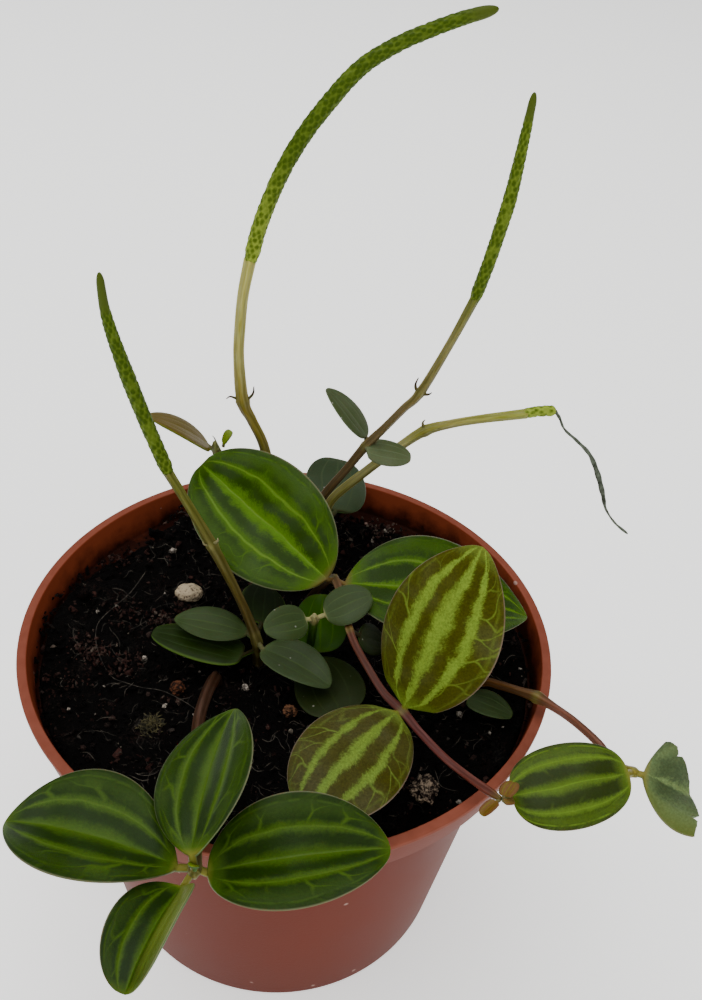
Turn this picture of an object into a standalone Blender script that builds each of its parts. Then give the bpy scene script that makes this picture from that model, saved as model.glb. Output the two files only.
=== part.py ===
"""A potted beetle peperomia: a plastic nursery pot of soil with a trailing, striped-leaved
peperomia and its four flower spikes. Metres, +Z up, the pot's resting face at z = 0."""
import math

import bmesh
import bpy
from mathutils import Matrix, Vector

MM = 0.001

# Pot, all in millimetres
POT_HEIGHT = 84.5
RIM_RADIUS = 60.0
RIM_THICKNESS = 2.1
COLLAR_BOTTOM_Z = 75.5
COLLAR_BOTTOM_RADIUS = 58.2
BODY_TOP_RADIUS = 52.9
BASE_RADIUS = 43.0
WALL = 1.3
SHELF_Z = 76.3
FLOOR_Z = 2.6
RECESS = 1.2
CENTRE_PAD_RADIUS = 10.0
POT_SEGMENTS = 56
DRAIN_HOLES = 8
DRAIN_HOLE_RADIUS = 4.0
DRAIN_RING_RADIUS = 31.0

# Soil
GAP = 0.3
SOIL_TOP = 75.2
SOIL_EDGE_RISE = 1.8
SOIL_LIP = 0.4
SOIL_SEGMENTS = 40
SOIL_RINGS = 7
HOLE_DEPTH_Z = 66.0

# Stems and leaves
STEM_SIDES = 8
STEM_SQUARENESS = 0.12
PETIOLE_GAP = 0.42
PETIOLE_HALF_LEAST = 0.35
PETIOLE_HALF_MOST = 0.75
PETIOLE_PER_LENGTH = 1 / 60
TIP_HALF = 0.45
LEAF_THICKNESS = 0.9
SMALL_LEAF_THICKNESS = 0.8
FIRST_ROW = 0.07
PETIOLE_ROOM = 0.9

# Flower spikes
SPIKE_SIDES = 8
SPIKE_ROW = 1.1
CELL_RELIEF = 0.09

BARE_SHELF_ANGLES = (68.0, 134.0)
BARE_SHELF_SPREAD = 17.0


def clear_scene():
    for old in list(bpy.data.objects):
        bpy.data.objects.remove(old, do_unlink=True)


def new_collection(name):
    made = bpy.data.collections.new(name)
    bpy.context.scene.collection.children.link(made)
    return made


def material(name, colour, roughness, metallic=0.0):
    made = bpy.data.materials.new(name)
    made.use_nodes = True
    shader = made.node_tree.nodes["Principled BSDF"]
    linear = [((c / 255 + 0.055) / 1.055) ** 2.4 for c in colour]
    shader.inputs["Base Color"].default_value = (*linear, 1.0)
    shader.inputs["Roughness"].default_value = roughness
    shader.inputs["Metallic"].default_value = metallic
    return made


def place(name, mesh_builder, look, collection, smooth=True):
    mesh = bpy.data.meshes.new(name)
    bmesh.ops.scale(mesh_builder, vec=(MM, MM, MM), verts=mesh_builder.verts)
    mesh_builder.to_mesh(mesh)
    mesh_builder.free()
    for face in mesh.polygons:
        face.use_smooth = smooth
    mesh.materials.append(look)
    made = bpy.data.objects.new(name, mesh)
    collection.objects.link(made)
    return made


def apply_modifiers(target):
    graph = bpy.context.evaluated_depsgraph_get()
    result = bpy.data.meshes.new_from_object(target.evaluated_get(graph))
    target.modifiers.clear()
    old = target.data
    target.data = result
    bpy.data.meshes.remove(old)


def boolean(target, helpers, operation):
    """Join or cut the helper collection with one Boolean, apply it, and remove the helpers."""
    change = target.modifiers.new(operation, "BOOLEAN")
    change.operation = operation
    change.operand_type = "COLLECTION"
    change.collection = helpers
    change.solver = "MANIFOLD" if operation == "UNION" else "EXACT"
    apply_modifiers(target)
    for helper in list(helpers.objects):
        bpy.data.objects.remove(helper, do_unlink=True)


def through(points, steps):
    """Points along a Catmull-Rom curve through the given ones, `steps` to each span."""
    nodes = [Vector(p) for p in points]
    ends = [2 * nodes[0] - nodes[1]] + nodes + [2 * nodes[-1] - nodes[-2]]
    found = []
    for i in range(1, len(ends) - 2):
        a, b, c, d = ends[i - 1:i + 3]
        for k in range(steps):
            t = k / steps
            found.append(0.5 * (2 * b + (c - a) * t + (2 * a - 5 * b + 4 * c - d) * t * t
                                + (3 * b - a - 3 * c + d) * t ** 3))
    return found + [nodes[-1]]


def evenly(points, spacing):
    """Points a fixed distance apart along a polyline, and each one's share of its length."""
    lengths = [0.0]
    for a, b in zip(points, points[1:]):
        lengths.append(lengths[-1] + (b - a).length)
    count = max(2, round(lengths[-1] / spacing))
    found, j = [], 0
    for k in range(count + 1):
        want = lengths[-1] * k / count
        while j < len(points) - 2 and lengths[j + 1] < want:
            j += 1
        t = (want - lengths[j]) / (lengths[j + 1] - lengths[j])
        found.append(points[j].lerp(points[j + 1], t))
    return found, [k / count for k in range(count + 1)], lengths[-1]


def frames(points):
    """Two directions across the line at each point, carried along without twisting."""
    across = Vector((1.0, 0.0, 0.0))
    found = []
    for i, point in enumerate(points):
        ahead = points[min(i + 1, len(points) - 1)] - points[max(i - 1, 0)]
        ahead.normalize()
        across = across - across.dot(ahead) * ahead
        across.normalize()
        found.append((across.copy(), ahead.cross(across)))
    return found


def tube(points, radius_at, sides):
    """A capped tube along points; radius_at(row, side) gives its radius in millimetres."""
    rows = len(points) - 1
    sheet = bmesh.new()
    bmesh.ops.create_grid(sheet, x_segments=sides, y_segments=rows, size=0.5)
    axes = frames(points)
    for vertex in sheet.verts:
        side = round((vertex.co.x + 0.5) * sides) % sides
        row = round((vertex.co.y + 0.5) * rows)
        angle = math.tau * side / sides
        one, two = axes[row]
        reach = radius_at(row, side)
        vertex.co = points[row] + reach * (math.cos(angle) * one + math.sin(angle) * two)
    bmesh.ops.remove_doubles(sheet, verts=sheet.verts, dist=0.001)
    bmesh.ops.holes_fill(sheet, edges=[e for e in sheet.edges if e.is_boundary], sides=0)
    bmesh.ops.recalc_face_normals(sheet, faces=sheet.faces)
    return sheet


def stem_mesh(points, radii, sides=STEM_SIDES):
    """A four-cornered stem through the points, one radius at each."""
    nodes = [Vector(p) for p in points]

    def radius_at(row, side):
        return radii[row] * (1 + STEM_SQUARENESS * math.cos(math.tau * 4 * side / sides))

    return tube(nodes, radius_at, sides)


def add_bracts(stem, bracts, look, collection, helpers):
    """Small hooked scales, each a tapering tube from inside the stem outwards, joined to it."""
    for number, path in enumerate(bracts):
        sheet = stem_mesh(path, [0.75, 0.65, 0.5, 0.32], 6)
        place(f"{stem.name}_bract_{number}", sheet, look, helpers)
    boolean(stem, helpers, "UNION")


# Leaves: each is a rounded blade bent by a formula
# foot = point on the stem's middle, base = where the blade begins, then heading and rise of
# the midrib, roll about it, length, width, the fullness of the base and tip, the droop of the
# midrib, the cupping and the fold of the halves, in millimetres and degrees
LARGE_LEAVES = {
    "leaf_01": ((9.8, 4.6, 95.5), (8.0, 3.2, 96.8), 142, 20, 34, 43.5, 29, 0.55, 0.64, 19, 20, 26),
    "leaf_02": ((9.8, 4.6, 95.5), (12.0, 1.5, 97.0), -5, 7, -9, 43, 29.5, 0.76, 0.95, 31, 7, 12),
    "leaf_03": ((23.8, -29.4, 91.0), (24.0, -29.2, 91.5), 42, 71, -9, 38, 25.5, 0.69, 0.75, 20, 12, -2),
    "leaf_04": ((23.8, -29.4, 91.0), (22.4, -29.9, 91.0), 237, 19, 9, 32, 21.5, 0.6, 0.54, 29, 2, -5),
    "leaf_05": ((-14.3, -66.9, 93.0), (-17.6, -66.2, 91.8), 166, 22, -7, 31.5, 24.5, 0.92, 0.83, 34, 5, 20),
    "leaf_06": ((-14.2, -68.0, 94.0), (-14.5, -67.8, 98.0), 87, 21, 32, 29, 20.5, 0.81, 0.94, 27, 19, 19),
    "leaf_07": ((-14.3, -66.9, 93.0), (-12.0, -67.3, 92.2), 0, 26, -14, 32, 21.5, 0.68, 0.73, 34, 16, 30),
    "leaf_08": ((-14.3, -66.9, 93.0), (-16.2, -69.6, 91.2), 246, 21, -23, 21, 16, 0.52, 0.55, 30, -17, 29),
    "leaf_09": ((69.8, -39.8, 87.2), (67.9, -41.8, 89.3), 191, 1, 22, 23, 17, 0.45, 0.43, 18, 36, 7),
    "leaf_10": ((69.8, -39.8, 87.2), (71.8, -40.6, 87.4), -20, -3, 2, 25.5, 24, 0.44, 0.58, 29, 12, 14),
}
TORN_LEAF = "leaf_10"
TORN_AT = 0.405
TORN_SLANT = 0.1
TORN_BOW = 0.09
TORN_RAGGED = 0.012
SMALL_LEAVES = {
    "small_leaf_01": ((16.3, 33.0, 113.0), (16.3, 35.3, 114.0), 150, 49, -9, 15, 8, 0.57, 0.77, 18, 11, 8),
    "small_leaf_02": ((16.3, 33.0, 113.0), (18.0, 31.7, 113.2), -4, -2, -14, 8.5, 7.5, 0.43, 0.56, 15, 20, 1),
    "small_leaf_03": ((8.1, 32.3, 90.0), (11.2, 37.6, 91.2), 88, 9, -12, 17.5, 15, 0.4, 0.38, 5, 20, 1),
    "small_leaf_04": ((-7.2, -3.8, 83.5), (-9.5, -2.2, 84.2), 172, 16, 2, 17, 10, 0.78, 0.85, 22, 12, 7),
    "small_leaf_05": ((-7.1, -3.4, 80.5), (-10.2, -6.0, 81.0), 167, 9, -3, 21.5, 11, 0.36, 0.52, 9, 12, 3),
    "small_leaf_06": ((5.3, -7.0, 94.3), (3.4, -8.2, 95.2), 217, 18, 34, 10.5, 8, 0.46, 0.61, 17, 17, 14),
    "small_leaf_07": ((-7.2, -3.8, 83.5), (-5.6, -7.0, 84.0), -33, 13, -3, 18, 11, 0.59, 0.7, 31, 14, 24),
    "small_leaf_08": ((5.3, -7.0, 94.3), (7.6, -7.6, 96.2), 11, 30, -23, 11, 9, 0.51, 0.61, 20, 13, 8),
    "small_leaf_09": ((-7.4, -3.6, 85.5), (-6.4, -1.0, 86.2), 86, 2, -20, 15, 11.5, 0.43, 0.57, 20, 12, 4),
    "small_leaf_10": ((5.1, -0.6, 78.0), (7.2, 1.0, 78.6), 92, 76, 4, 13.5, 12, 0.42, 0.45, 8, 8, 3),
    "small_leaf_11": ((5.1, -0.6, 78.0), (6.4, -3.4, 77.8), -74, 11, -8, 19.5, 15.5, 0.55, 0.36, 6, 5, 6),
    "small_leaf_12": ((13.4, -11.0, 95.0), (15.2, -10.4, 93.2), 23, -37, -38, 9.5, 7, 0.44, 0.66, 15, 11, 7),
    "small_leaf_13": ((38.8, -12.5, 79.8), (40.2, -15.4, 79.6), -26, 4, -2, 10.5, 7.5, 0.46, 0.69, 9, 1, 20),
    "small_leaf_14": ((-19.4, 35.4, 107.5), (-21.8, 36.2, 108.8), 215, 51, 15, 19.5, 9, 0.38, 0.76, 21, 3, 6),
}


def blade_axes(heading, rise, roll):
    turn, lift, lean = (math.radians(v) for v in (heading, rise, roll))
    along = Vector((math.cos(lift) * math.cos(turn), math.cos(lift) * math.sin(turn), math.sin(lift)))
    up = Vector((-math.sin(lift) * math.cos(turn), -math.sin(lift) * math.sin(turn), math.cos(lift)))
    side = up.cross(along)
    return along, side * math.cos(lean) - up * math.sin(lean), up * math.cos(lean) + side * math.sin(lean)


def petiole_half(length):
    return min(PETIOLE_HALF_MOST, PETIOLE_HALF_LEAST + length * PETIOLE_PER_LENGTH)


def blade_half(u, fullness, sharpness):
    """Share of the greatest half width at u along the blade, from 0 at its base to 1."""
    widest = fullness / (fullness + sharpness)
    most = widest ** fullness * (1 - widest) ** sharpness
    return u ** fullness * (1 - u) ** sharpness / most


def blade_point(leaf, u, w):
    """A point of the blade at u along it and w across it, from -1 to 1."""
    foot, base, heading, rise, roll, length, width, fullness, sharpness, droop, cup, fold = leaf
    along, side, up = blade_axes(heading, rise, roll)
    bend = math.radians(droop)
    forward = length * math.sin(bend * u) / bend
    down = -length * (1 - math.cos(bend * u)) / bend
    narrow = petiole_half(length) + (TIP_HALF - petiole_half(length)) * u
    half = narrow + (width / 2 - narrow) * blade_half(u, fullness, sharpness)
    reach = half * abs(w)
    lean = math.radians(fold)
    curl = math.radians(cup) / (width / 2)
    out = (math.sin(lean) - math.sin(lean - curl * reach)) / curl
    lift = (math.cos(lean - curl * reach) - math.cos(lean)) / curl
    out = math.copysign(out, w)
    tangent = along * math.cos(bend * u) - up * math.sin(bend * u)
    normal = along * math.sin(bend * u) + up * math.cos(bend * u)
    return Vector(base) + along * forward + up * down + normal * lift + side * out, tangent


def stem_reach(foot):
    """How far the corners of the stem stand out from its middle at the nearest listed point."""
    found = [((Vector(point) - foot).length, radius)
             for points, radii in STEMS.values() for point, radius in zip(points, radii)]
    return min(found)[1] * (1 + STEM_SQUARENESS)


def leaf_object(name, leaf, thickness, rows, columns, look, collection):
    foot, base, length = Vector(leaf[0]), Vector(leaf[1]), leaf[5]
    clear = stem_reach(foot) + PETIOLE_GAP
    start = max(FIRST_ROW, (clear + PETIOLE_ROOM - (base - foot).length) / length)
    first, tangent = blade_point(leaf, start, 0.0)
    toward = (first - foot).normalized()
    side = blade_axes(*leaf[2:5])[1]
    sheet = bmesh.new()
    bmesh.ops.create_grid(sheet, x_segments=columns, y_segments=rows, size=0.5)
    for vertex in sheet.verts:
        w = round((vertex.co.x + 0.5) * columns) / columns * 2 - 1
        row = round((vertex.co.y + 0.5) * rows)
        if row == 0:
            vertex.co = foot + toward * clear + side * w * petiole_half(length)
            continue
        share = (row - 1) / (rows - 1)
        share = 0.45 * share + 0.55 * (1 - math.cos(math.pi * share)) / 2
        if name == TORN_LEAF:
            end = TORN_AT - TORN_SLANT * w - TORN_BOW * w * w + TORN_RAGGED * math.sin(11 * w)
            u = start + (end - start) * share
        else:
            u = start + (1 - start) * share
        vertex.co = blade_point(leaf, u, w)[0]
    bmesh.ops.triangulate(sheet, faces=sheet.faces)
    made = place(name, sheet, look, collection)
    thick = made.modifiers.new("blade thickness", "SOLIDIFY")
    thick.thickness = thickness * MM
    thick.offset = 0.0
    thick.use_even_offset = True
    apply_modifiers(made)
    outward(made)
    return made


def outward(made):
    sheet = bmesh.new()
    sheet.from_mesh(made.data)
    bmesh.ops.recalc_face_normals(sheet, faces=sheet.faces)
    sheet.to_mesh(made.data)
    sheet.free()


# Soil surface
def soil_height(x, y):
    """Height of the uneven soil in millimetres: higher by the wall, heaped at the left and back."""
    share = min(1.0, max(0.0, (math.hypot(x, y) - 38.0) / 12.0))
    rise = share * share * (3 - 2 * share)
    lumps = 0.5 * math.sin(x / 6.5 + 0.8) * math.cos(y / 7.5) + 0.35 * math.sin((x + 1.3 * y) / 4.6)
    lumps = lumps * (1 - 0.6 * rise) + SOIL_EDGE_RISE * rise
    heap = 5.2 * math.exp(-((x + 31) ** 2 + (y - 45) ** 2) / 90)
    left = 3.4 * math.exp(-((x + 57) ** 2 / 60 + (y - 6) ** 2 / 260))
    right = 1.2 * math.exp(-((x - 54) ** 2 / 120 + y ** 2 / 900))
    return SOIL_TOP + lumps + heap + left + right


def soil_reach(angle):
    """How far out the soil lies on the pot's inner shelf, 0 where the shelf is bare."""
    cover = 1.0
    for bare in BARE_SHELF_ANGLES:
        away = (math.degrees(angle) - bare + 180) % 360 - 180
        cover *= 1 - math.exp(-(away / BARE_SHELF_SPREAD) ** 2)
    return cover


def build_pot(look, collection, helpers):
    top, inner = POT_HEIGHT, RIM_RADIUS - RIM_THICKNESS
    slope = (BODY_TOP_RADIUS - BASE_RADIUS) / COLLAR_BOTTOM_Z
    profile = (
        (inner - 1.3, SHELF_Z + 0.3), (inner, top - 0.5), (inner + 0.5, top), (RIM_RADIUS - 0.5, top),
        (RIM_RADIUS, top - 0.5), (RIM_RADIUS - 0.3, top - 1.5), (COLLAR_BOTTOM_RADIUS, COLLAR_BOTTOM_Z + 0.4),
        (COLLAR_BOTTOM_RADIUS - 0.5, COLLAR_BOTTOM_Z), (BODY_TOP_RADIUS, COLLAR_BOTTOM_Z),
        (BASE_RADIUS + slope * 1.0, 1.0), (BASE_RADIUS - 0.8, 0.0), (BASE_RADIUS - 3.0, 0.0),
        (BASE_RADIUS - 3.6, RECESS), (CENTRE_PAD_RADIUS + 0.6, RECESS), (CENTRE_PAD_RADIUS, 0.0),
        (0.0, 0.0),
    )
    inside = (
        (0.0, FLOOR_Z), (BASE_RADIUS - WALL - 1.0, FLOOR_Z), (BASE_RADIUS - WALL + 0.2, FLOOR_Z + 1.0),
        (BODY_TOP_RADIUS - WALL, SHELF_Z), (inner - 1.6, SHELF_Z),
    )
    sheet = bmesh.new()
    outline = [sheet.verts.new((r, 0.0, z)) for r, z in profile + inside]
    for a, b in zip(outline, outline[1:] + outline[:1]):
        if a.co.x + b.co.x > 0:
            sheet.edges.new((a, b))
    bmesh.ops.spin(sheet, geom=sheet.verts[:] + sheet.edges[:], cent=(0, 0, 0), axis=(0, 0, 1),
                   angle=math.tau, steps=POT_SEGMENTS, use_merge=True)
    bmesh.ops.remove_doubles(sheet, verts=sheet.verts, dist=0.001)
    bmesh.ops.recalc_face_normals(sheet, faces=sheet.faces)
    made = place("pot", sheet, look, collection)
    for number in range(DRAIN_HOLES):
        turn = Matrix.Rotation(math.tau * number / DRAIN_HOLES, 4, "Z")
        hole = bmesh.new()
        bmesh.ops.create_cone(hole, cap_ends=True, segments=14, radius1=DRAIN_HOLE_RADIUS,
                              radius2=DRAIN_HOLE_RADIUS, depth=6.0,
                              matrix=turn @ Matrix.Translation((DRAIN_RING_RADIUS, 0.0, 2.0)))
        place(f"drain_hole_{number}", hole, look, helpers)
    boolean(made, helpers, "DIFFERENCE")
    return made


def build_soil(look, collection, helpers, feet):
    plug_top = BODY_TOP_RADIUS - WALL - 0.4
    plug_bottom = BASE_RADIUS - WALL - 0.5
    most = RIM_RADIUS - RIM_THICKNESS - 2.1
    inner_reach = plug_top - 0.6
    floor = SHELF_Z + GAP
    sheet = bmesh.new()
    bmesh.ops.create_grid(sheet, x_segments=SOIL_SEGMENTS, y_segments=SOIL_RINGS + 3, size=0.5)
    for vertex in sheet.verts:
        angle = math.tau * (round((vertex.co.x + 0.5) * SOIL_SEGMENTS) % SOIL_SEGMENTS) / SOIL_SEGMENTS
        ring = round((vertex.co.y + 0.5) * (SOIL_RINGS + 3))
        edge = plug_top + 0.35 + (most - plug_top - 0.35) * soil_reach(angle)
        if ring <= SOIL_RINGS:
            radius = edge if ring == SOIL_RINGS else inner_reach * ring / (SOIL_RINGS - 1)
            z = soil_height(radius * math.cos(angle), radius * math.sin(angle))
            if ring >= SOIL_RINGS - 1:
                z = max(z, floor + SOIL_LIP)
        elif ring == SOIL_RINGS + 1:
            radius, z = edge, floor
        elif ring == SOIL_RINGS + 2:
            radius, z = plug_top, floor
        else:
            radius, z = plug_bottom, FLOOR_Z + 1.4
        vertex.co = (radius * math.cos(angle), radius * math.sin(angle), z)
    bmesh.ops.remove_doubles(sheet, verts=sheet.verts, dist=0.001)
    bmesh.ops.holes_fill(sheet, edges=[e for e in sheet.edges if e.is_boundary], sides=0)
    bmesh.ops.triangulate(sheet, faces=sheet.faces)
    bmesh.ops.recalc_face_normals(sheet, faces=sheet.faces)
    made = place("soil", sheet, look, collection)
    for number, (x, y, radius) in enumerate(feet):
        hole = bmesh.new()
        bmesh.ops.create_cone(hole, cap_ends=True, segments=10, radius1=radius + 0.55,
                              radius2=radius + 0.55, depth=20.0,
                              matrix=Matrix.Translation((x, y, HOLE_DEPTH_Z - GAP + 10.0)))
        place(f"stem_hole_{number}", hole, look, helpers)
    boolean(made, helpers, "DIFFERENCE")
    return made


def build_granule(name, x, y, sizes, turn, look, collection):
    lump = bmesh.new()
    bmesh.ops.create_icosphere(lump, subdivisions=2, radius=1.0)
    for vertex in lump.verts:
        p = vertex.co
        rough = 1 + 0.06 * math.sin(4 * p.x + 5 * p.y) + 0.05 * math.cos(6 * p.z - 3 * p.x)
        vertex.co = Vector((p.x * sizes[0], p.y * sizes[1], p.z * sizes[2])) * rough / 2
    spin = Matrix.Rotation(math.radians(turn), 4, "Z")
    bmesh.ops.transform(lump, matrix=spin, verts=lump.verts)
    around = [soil_height(x + dx, y + dy) for dx in (-1.5, 0, 1.5) for dy in (-1.5, 0, 1.5)]
    z = max(around) + sizes[2] * 0.53 + GAP
    bmesh.ops.translate(lump, vec=(x, y, z), verts=lump.verts)
    return place(name, lump, look, collection)


# Stem lines: points in millimetres, the first two standing in the soil, and their radii
STEMS = {
    "stem_a": (
        ((-16, -9.5, 66), (-16, -9.5, 76.5), (-16.4, -12.5, 79.4), (-17.3, -19.4, 82), (-17.8, -28.7, 84.8),
         (-16.8, -43.6, 89), (-15.3, -55.7, 91.8), (-14.3, -66.9, 93), (-14.2, -68.5, 94.6)),
        (1.2, 1.2, 1.25, 1.15, 1.1, 1.05, 1.0, 0.95, 0.5)),
    "stem_b": (
        ((4, 14, 66), (4, 14, 76.5), (5.6, 11, 85), (9.8, 4.6, 95.5), (12.6, -9.2, 95.3), (14.1, -14.5, 94.6),
         (17.2, -20.7, 93.2), (20.2, -26, 92.2), (23.8, -29.4, 91), (27.1, -33.9, 90.2), (31.7, -39.5, 89.5),
         (36.3, -43.7, 89), (39.8, -46.8, 89), (41.6, -48.6, 89.4)),
        (1.0, 1.0, 0.95, 0.95, 0.82, 0.82, 0.82, 0.85, 0.95, 0.82, 0.8, 0.78, 0.85, 0.5)),
    "stem_c": (
        ((36, -11.5, 66), (36, -11.5, 76.4), (38.9, -12.6, 80.4), (43.6, -14.8, 84.6), (46.5, -16.4, 85.4),
         (50.1, -19.5, 87.2), (53.2, -21.9, 88.2), (56.7, -24.5, 88), (60.7, -27.1, 86.8), (65.2, -31.4, 85.3),
         (68.2, -35.6, 85.7), (69.8, -39.8, 87.2), (70.2, -40.8, 87.6)),
        (0.9, 0.9, 0.9, 0.85, 0.85, 0.85, 1.1, 0.82, 0.8, 0.8, 0.8, 0.95, 0.6)),
    "shoot_e": (
        ((5, 0, 66), (5, 0, 76.8), (5.2, -3, 86), (5.3, -7, 94.3), (5.3, -8, 96.2)),
        (0.85, 0.85, 0.85, 0.9, 0.45)),
    "shoot_f": (
        ((-11, 34, 66), (-11, 34, 76.3), (-15, 35, 92), (-19.2, 35.4, 107), (-19.8, 35.3, 110.5)),
        (0.9, 0.9, 0.85, 0.9, 0.45)),
    "flower_stem_1": (
        ((-2.5, 34.5, 66), (-2.5, 34.5, 76.5), (-5, 35, 93), (-7.8, 35.4, 109), (-10.5, 35.6, 117),
         (-13.1, 34.8, 124), (-14, 34.3, 134), (-13.8, 34.4, 141.5), (-13.1, 34.5, 150), (-11.8, 34.9, 157.3)),
        (1.2, 1.2, 1.1, 1.05, 1.05, 1.25, 1.05, 1.05, 1.05, 1.15)),
    "flower_stem_2": (
        ((2.5, 31.5, 66), (2.5, 31.5, 76.5), (4.6, 31.8, 90), (6.9, 31.9, 98), (11.8, 32.2, 106),
         (16.3, 33, 113), (19.9, 32.9, 119), (23.4, 32, 125), (27.6, 31.9, 130.4), (32.6, 31.9, 142),
         (36.5, 32.4, 152.6)),
        (1.0, 1.0, 0.95, 0.95, 0.9, 1.0, 0.85, 0.85, 0.95, 0.85, 0.95)),
    "flower_stem_3": (
        ((-7, -3, 66), (-7, -3, 76.3), (-7.3, -4, 84), (-11.3, -0.6, 93.4), (-17.7, 3.8, 105), (-22.5, 6.5, 113),
         (-26.9, 8.2, 120.6)),
        (1.0, 1.0, 1.05, 0.9, 1.1, 0.9, 1.0)),
    "flower_stem_4": (
        ((7.5, 29, 66), (7.5, 29, 76.5), (8, 32, 89), (9, 34, 95.2), (17.1, 37.5, 102),
         (25.5, 41.4, 107.5), (31.4, 42.9, 111.5), (37.4, 43.4, 113.5), (44.8, 44, 115), (55.8, 45.8, 116)),
        (1.1, 1.1, 1.05, 1.0, 1.0, 1.0, 1.15, 0.95, 0.95, 1.1)),
}
BRACTS = {
    "flower_stem_1": (
        ((-13.1, 34.8, 124), (-14.8, 34.4, 124.6), (-16.2, 34.3, 124.8), (-17.3, 34.3, 124.2)),
        ((-13.1, 34.8, 124), (-11.8, 34.6, 125), (-11.0, 34.5, 126.3), (-10.9, 34.5, 127.8))),
    "flower_stem_2": (
        ((27.6, 31.9, 130.4), (26.6, 31.7, 131.2), (26.4, 31.6, 132.5), (26.6, 31.6, 134)),
        ((27.6, 31.9, 130.4), (28.9, 31.6, 130.4), (29.8, 31.5, 130.8), (30.4, 31.4, 131.6))),
    "flower_stem_3": (
        ((-17.7, 3.8, 105), (-19.2, 3.2, 105.6), (-20.3, 2.9, 106.4), (-21.2, 2.8, 107.6)),
        ((-17.7, 3.8, 105), (-16.6, 3.2, 106.4), (-16.0, 3, 107.6), (-15.8, 3, 109.2))),
    "flower_stem_4": (
        ((31.4, 42.9, 111.5), (30.7, 42.8, 112.9), (30.3, 42.8, 114.1), (30.1, 42.8, 115.3)),
        ((31.4, 42.9, 111.5), (32.7, 42.6, 111.1), (33.8, 42.5, 111.5), (34.5, 42.5, 112.3))),
    "stem_b": (
        ((39.8, -46.8, 89), (38.2, -48.4, 88.8), (36.8, -50, 89.2), (35.8, -51.4, 90)),
        ((39.8, -46.8, 89), (41.6, -47.8, 88.8), (43.4, -48.4, 88.8), (44.8, -48.8, 89.4))),
    "shoot_f": (
        ((-19.2, 35.4, 107), (-18, 35.2, 109), (-17, 35.2, 110.8), (-15.6, 35.4, 112.8)),),
}
SPIKES = {
    "flower_spike_1": (
        ((-11.6, 35, 157.8), (-9.7, 36.1, 165.4), (-6.3, 37.3, 174.5), (-2.1, 39, 182.3), (3.1, 41, 189.3),
         (9, 43, 195.7), (15.5, 44.2, 200), (22.2, 44.7, 203.2), (28.4, 44.6, 205.8), (34.9, 44.4, 208)),
        1.5, 1.5, 1.15),
    "flower_spike_2": (
        ((36.7, 32.5, 153), (38.6, 33.2, 161.4), (40, 34.4, 168), (41.2, 35.6, 174), (41.9, 36.5, 180.4),
         (42.4, 37, 187), (42.9, 37.5, 195)),
        1.25, 1.25, 0.7),
    "flower_spike_3": (
        ((-27.1, 8.3, 121), (-30.6, 9.9, 130), (-33.6, 11.2, 138.6), (-36.4, 12, 148), (-38.2, 12.4, 156),
         (-38.8, 12.8, 164)),
        1.3, 1.35, 0.8),
    "flower_spike_4": (((56.1, 46, 116.05), (60, 46.6, 116.5), (64.2, 47.4, 116.4)), 1.25, 1.2, 0.9),
}
THREAD = (
    (64.6, 47.4, 116.1), (65.6, 47, 114.4), (67, 45.8, 112), (70.7, 45.4, 109), (74.6, 44.5, 105.5),
    (77.2, 42.4, 101), (79.5, 41.2, 95.5), (81, 40.4, 91.5), (84.7, 41, 86.5), (89, 40.9, 83))
THREAD_RADII = (0.45, 0.4, 0.42, 0.45, 0.5, 0.62, 0.6, 0.45, 0.4, 0.36)


def build_spike(name, points, base_radius, middle_radius, tip_radius, look, collection):
    """A spike of raised cells in staggered rows, closing to a blunt tip."""
    line, shares, length = evenly(through(points, 6), SPIKE_ROW)
    rows = len(line) - 1

    def radius_at(row, side):
        share = shares[row]
        if share < 0.5:
            radius = base_radius + (middle_radius - base_radius) * share * 2
        else:
            radius = middle_radius + (tip_radius - middle_radius) * (share * 2 - 1)
        if row == 0 or row == rows:
            return radius * 0.6
        fade = min(1.0, (1 - share) * 6)
        return radius * (1 + CELL_RELIEF * fade * (-1) ** (row + side))

    return place(name, tube(line, radius_at, SPIKE_SIDES), look, collection)


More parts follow.
